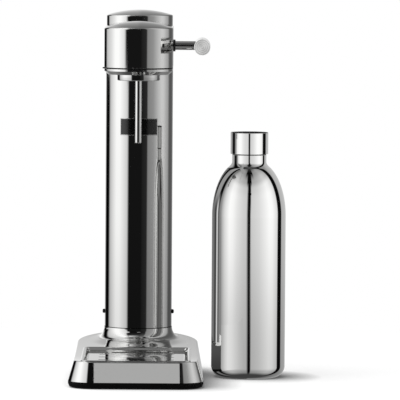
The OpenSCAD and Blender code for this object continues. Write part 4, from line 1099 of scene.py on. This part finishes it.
# %% A small card
def small_card(name, corners, storeys, group, ends=(0, 1)):
    """A flat card from its four corners. Greys follow y between two ends, and storeys the height, in mm."""
    mesh = bpy.data.meshes.new(name)
    mesh.from_pydata([Vector(c) / 1000 for c in corners], [], [(0, 1, 2, 3)])
    sheet = bpy.data.objects.new(name, mesh)
    bpy.context.collection.objects.link(sheet)
    material, tree, shader = start(name + "_paper")
    tree.nodes.remove(shader)   # A card only gives light
    place = add(tree, "ShaderNodeTexCoord")
    split = add(tree, "ShaderNodeSeparateXYZ", {0: place.outputs["Object"]})
    shown = painted(tree, split.outputs["Y"], *ends, split.outputs["Z"], storeys, 0.001)
    light = add(tree, "ShaderNodeEmission", {"Color": shown, "Strength": 1.0})
    clear = add(tree, "ShaderNodeBsdfTransparent")
    side = add(tree, "ShaderNodeNewGeometry")
    seen = add(tree, "ShaderNodeMixShader", {0: side.outputs["Backfacing"], 1: light.outputs["Emission"],
                                             2: clear.outputs["BSDF"]})
    tree.links.new(seen.outputs["Shader"], tree.nodes["Material Output"].inputs["Surface"])
    hang(sheet, material, group)
    return sheet


def upright_card(name, near, far, low, high, storeys):
    """An upright card beside the bottle, between two (x, y) places and two heights."""
    corners = [(*near, low), (*far, low), (*far, high), (*near, high)]
    return small_card(name, corners, storeys, both_group, (near[1], far[1]))


print("small cards are ready to be hung")

# %% The card in front
def toward(azimuth, height, far=9000, first=(0, -120, 20)):
    """A point in a direction from the base's front wall: azimuth to the right, height in degrees."""
    a, h = radians(azimuth), radians(height)
    return Vector(first) + far * Vector((sin(a) * cos(h), -cos(a) * cos(h), sin(h)))


left, right, low, high = -2.75, 8.6, 25.4, 28.4
front_corners = [toward(a, h) for a, h in ((right, low), (left, low), (left, high), (right, high))]
small_card("front_card", front_corners, [(0, [(0, 168)])], machine_group)
print("front card is", round((front_corners[0] - front_corners[1]).length / 1000, 2), "m wide")

# %% The cards between the machine and the bottle
# Pale like the front of the base, brightest just before the bottle's own place
beside_base = [(-140, 178), (-100, 182), (-72, 190), (-45, 204), (-26, 219), (-16, 222), (-9, 206), (-4, 184),
               (1, 160)]
upright_card("low_card", (80, -140), (80, 1), 0, 60, [(0, beside_base)])
# A dark foot that brightens upwards, where the bottle's side meets the base's
flank = [(5, [(1, 8)]), (8, [(1, 56)]), (34, [(1, 74)])]
upright_card("flank_card", (80, 1), (80, 60), 0, 36, flank)
# The column's stand-in: dim, with one bright stripe, and dark stripes at the shoulder's height
beside_column = [(9, 150), (12, 122), (16, 92), (19.5, 92), (20.5, 205), (25.5, 205), (28, 90), (32, 58),
                 (38, 66), (46, 108), (300, 122)]
beside_shoulder = [(9, 150), (12, 130), (14, 8), (25, 8), (28, 146), (54, 146), (60, 20), (92, 20), (98, 108),
                   (300, 130)]
upright_card("tall_card", (60, 9), (56, 300), 38, 360, [(190, beside_column), (222, beside_shoulder)])
print("the tall card has", len(beside_column), "greys low down and", len(beside_shoulder), "higher up")

# %% The cards at the height of cap, head and lever
beside_cap = [(8, 160), (14.3, 150), (16.3, 6), (20.6, 6), (22.5, 118), (25, 165), (80, 170)]
small_card("cap_card", [(102, 12, 237), (100, 80, 237), (100, 80, 284), (102, 12, 284)], [(0, beside_cap)],
           both_group, (8, 80))
beside_head = [(-60, 238), (-34, 253), (-16, 236), (-8, 214), (-1.5, 190), (2, 170), (9, 130)]
high_storeys = [(z, [(y, int(grey * share)) for y, grey in beside_head])
                for z, share in ((285, 0.82), (320, 0.72), (360, 0.66))]
upright_card("high_card", (60, -60), (60, 9), 285, 360, high_storeys)
under_lever = [(55, -45, 360), (55, 45, 360), (85, 45, 360), (85, -45, 360)]
small_card("lever_card", under_lever, [(0, [(0, 150)])], both_group)

# %% [markdown]
# ## The floor
# The floor is white paper and keeps the soft shadows. Far out it turns into plain white light, so
# that no edge or horizon shows. Close to the object a real floor is darker, because less light
# gets in there. One large lamp and a pale world alone leave that shadow too weak, so an ambient
# occlusion node, which looks towards the lamp, darkens the paper near the object.

# %% Floor
FLOOR_R, FLOOR_MIDDLE = 1.6, (0.05, 0.0, 0.0)
bpy.ops.mesh.primitive_circle_add(vertices=128, radius=FLOOR_R, fill_type="NGON", location=FLOOR_MIDDLE)
floor = bpy.context.object
floor.name = "floor"
floor_paper, tree, paper = start("white_paper_sweep")
# Matt white paper: no gloss at all
paper.inputs["Roughness"].default_value = 0.9
paper.inputs["Specular IOR Level"].default_value = 0.0
to_lamp = add(tree, "ShaderNodeCombineXYZ", {"X": -0.7, "Y": -0.32, "Z": 0.64})
near = add(tree, "ShaderNodeAmbientOcclusion", {"Distance": 0.045, "Normal": to_lamp.outputs["Vector"]},
           samples=12)
lit = add(tree, "ShaderNodeMapRange", {"Value": near.outputs["AO"], "From Min": 0.3, "From Max": 1.0,
                                       "To Min": 0.16, "To Max": 1.0})
tone = add(tree, "ShaderNodeMix", {"Factor": lit.outputs["Result"], "A": (0, 0, 0, 1),
                                   "B": linear("#fbfbfb")}, data_type="RGBA")
tree.links.new(tone.outputs["Result"], paper.inputs["Base Color"])
place = add(tree, "ShaderNodeTexCoord")
far = add(tree, "ShaderNodeVectorMath", {0: place.outputs["Object"]}, operation="LENGTH")
fade = add(tree, "ShaderNodeMapRange", {"Value": far.outputs["Value"], "From Min": 0.2, "From Max": 0.7,
                                        "To Min": 0.58, "To Max": 1.0}, interpolation_type="SMOOTHSTEP")
white = add(tree, "ShaderNodeEmission", {"Color": lit.outputs["Result"], "Strength": 1.0})
blend = add(tree, "ShaderNodeMixShader", {0: fade.outputs["Result"], 1: paper.outputs["BSDF"],
                                          2: white.outputs["Emission"]})
tree.links.new(blend.outputs["Shader"], tree.nodes["Material Output"].inputs["Surface"])
floor_paper.cycles.emission_sampling = "NONE"
floor.data.materials.append(floor_paper)
floor.visible_glossy = False
print("floor laid,", 2 * FLOOR_R, "m across")

# %% [markdown]
# ## The lamp and the white room
# The cards only make reflections. What lights the rubber, the enamel and the floor is one large
# soft lamp high on the left, which lays the shadows to the right, and a pale world that fills in
# from everywhere. The world is plain white for the camera and for what shows in metal, and a
# little dimmer for the light that it gives, so that white surfaces don't burn out.

# %% Lamp and world
lamp_data = bpy.data.lights.new("soft_lamp", "AREA")
lamp_data.shape = "RECTANGLE"
lamp_data.size, lamp_data.size_y = 2.0, 2.0
lamp_data.energy = 44.0
lamp = bpy.data.objects.new("soft_lamp", lamp_data)
bpy.context.collection.objects.link(lamp)
lamp.location = (-1.1, -0.2, 2.2)
lamp.rotation_euler = (Vector(FLOOR_MIDDLE) - lamp.location).to_track_quat("-Z", "Y").to_euler()
lamp.visible_glossy = False
lamp.visible_camera = False

world = bpy.data.worlds.new("white_studio")
bpy.context.scene.world = world
world.use_nodes = True
tree = world.node_tree
ray = add(tree, "ShaderNodeLightPath")
direct = add(tree, "ShaderNodeMath", {0: ray.outputs["Is Camera Ray"], 1: ray.outputs["Is Glossy Ray"]},
             operation="MAXIMUM")
seen = add(tree, "ShaderNodeMath", {0: direct.outputs["Value"], 1: ray.outputs["Is Transmission Ray"]},
           operation="MAXIMUM")
strength = add(tree, "ShaderNodeMapRange", {"Value": seen.outputs["Value"], "To Min": 0.75, "To Max": 1.0})
tree.nodes["Background"].inputs["Color"].default_value = (1, 1, 1, 1)
tree.links.new(strength.outputs["Result"], tree.nodes["Background"].inputs["Strength"])
bpy.context.scene.view_settings.view_transform = "Standard"
print("the lamp stands", round(lamp.location.length, 1), "m away")
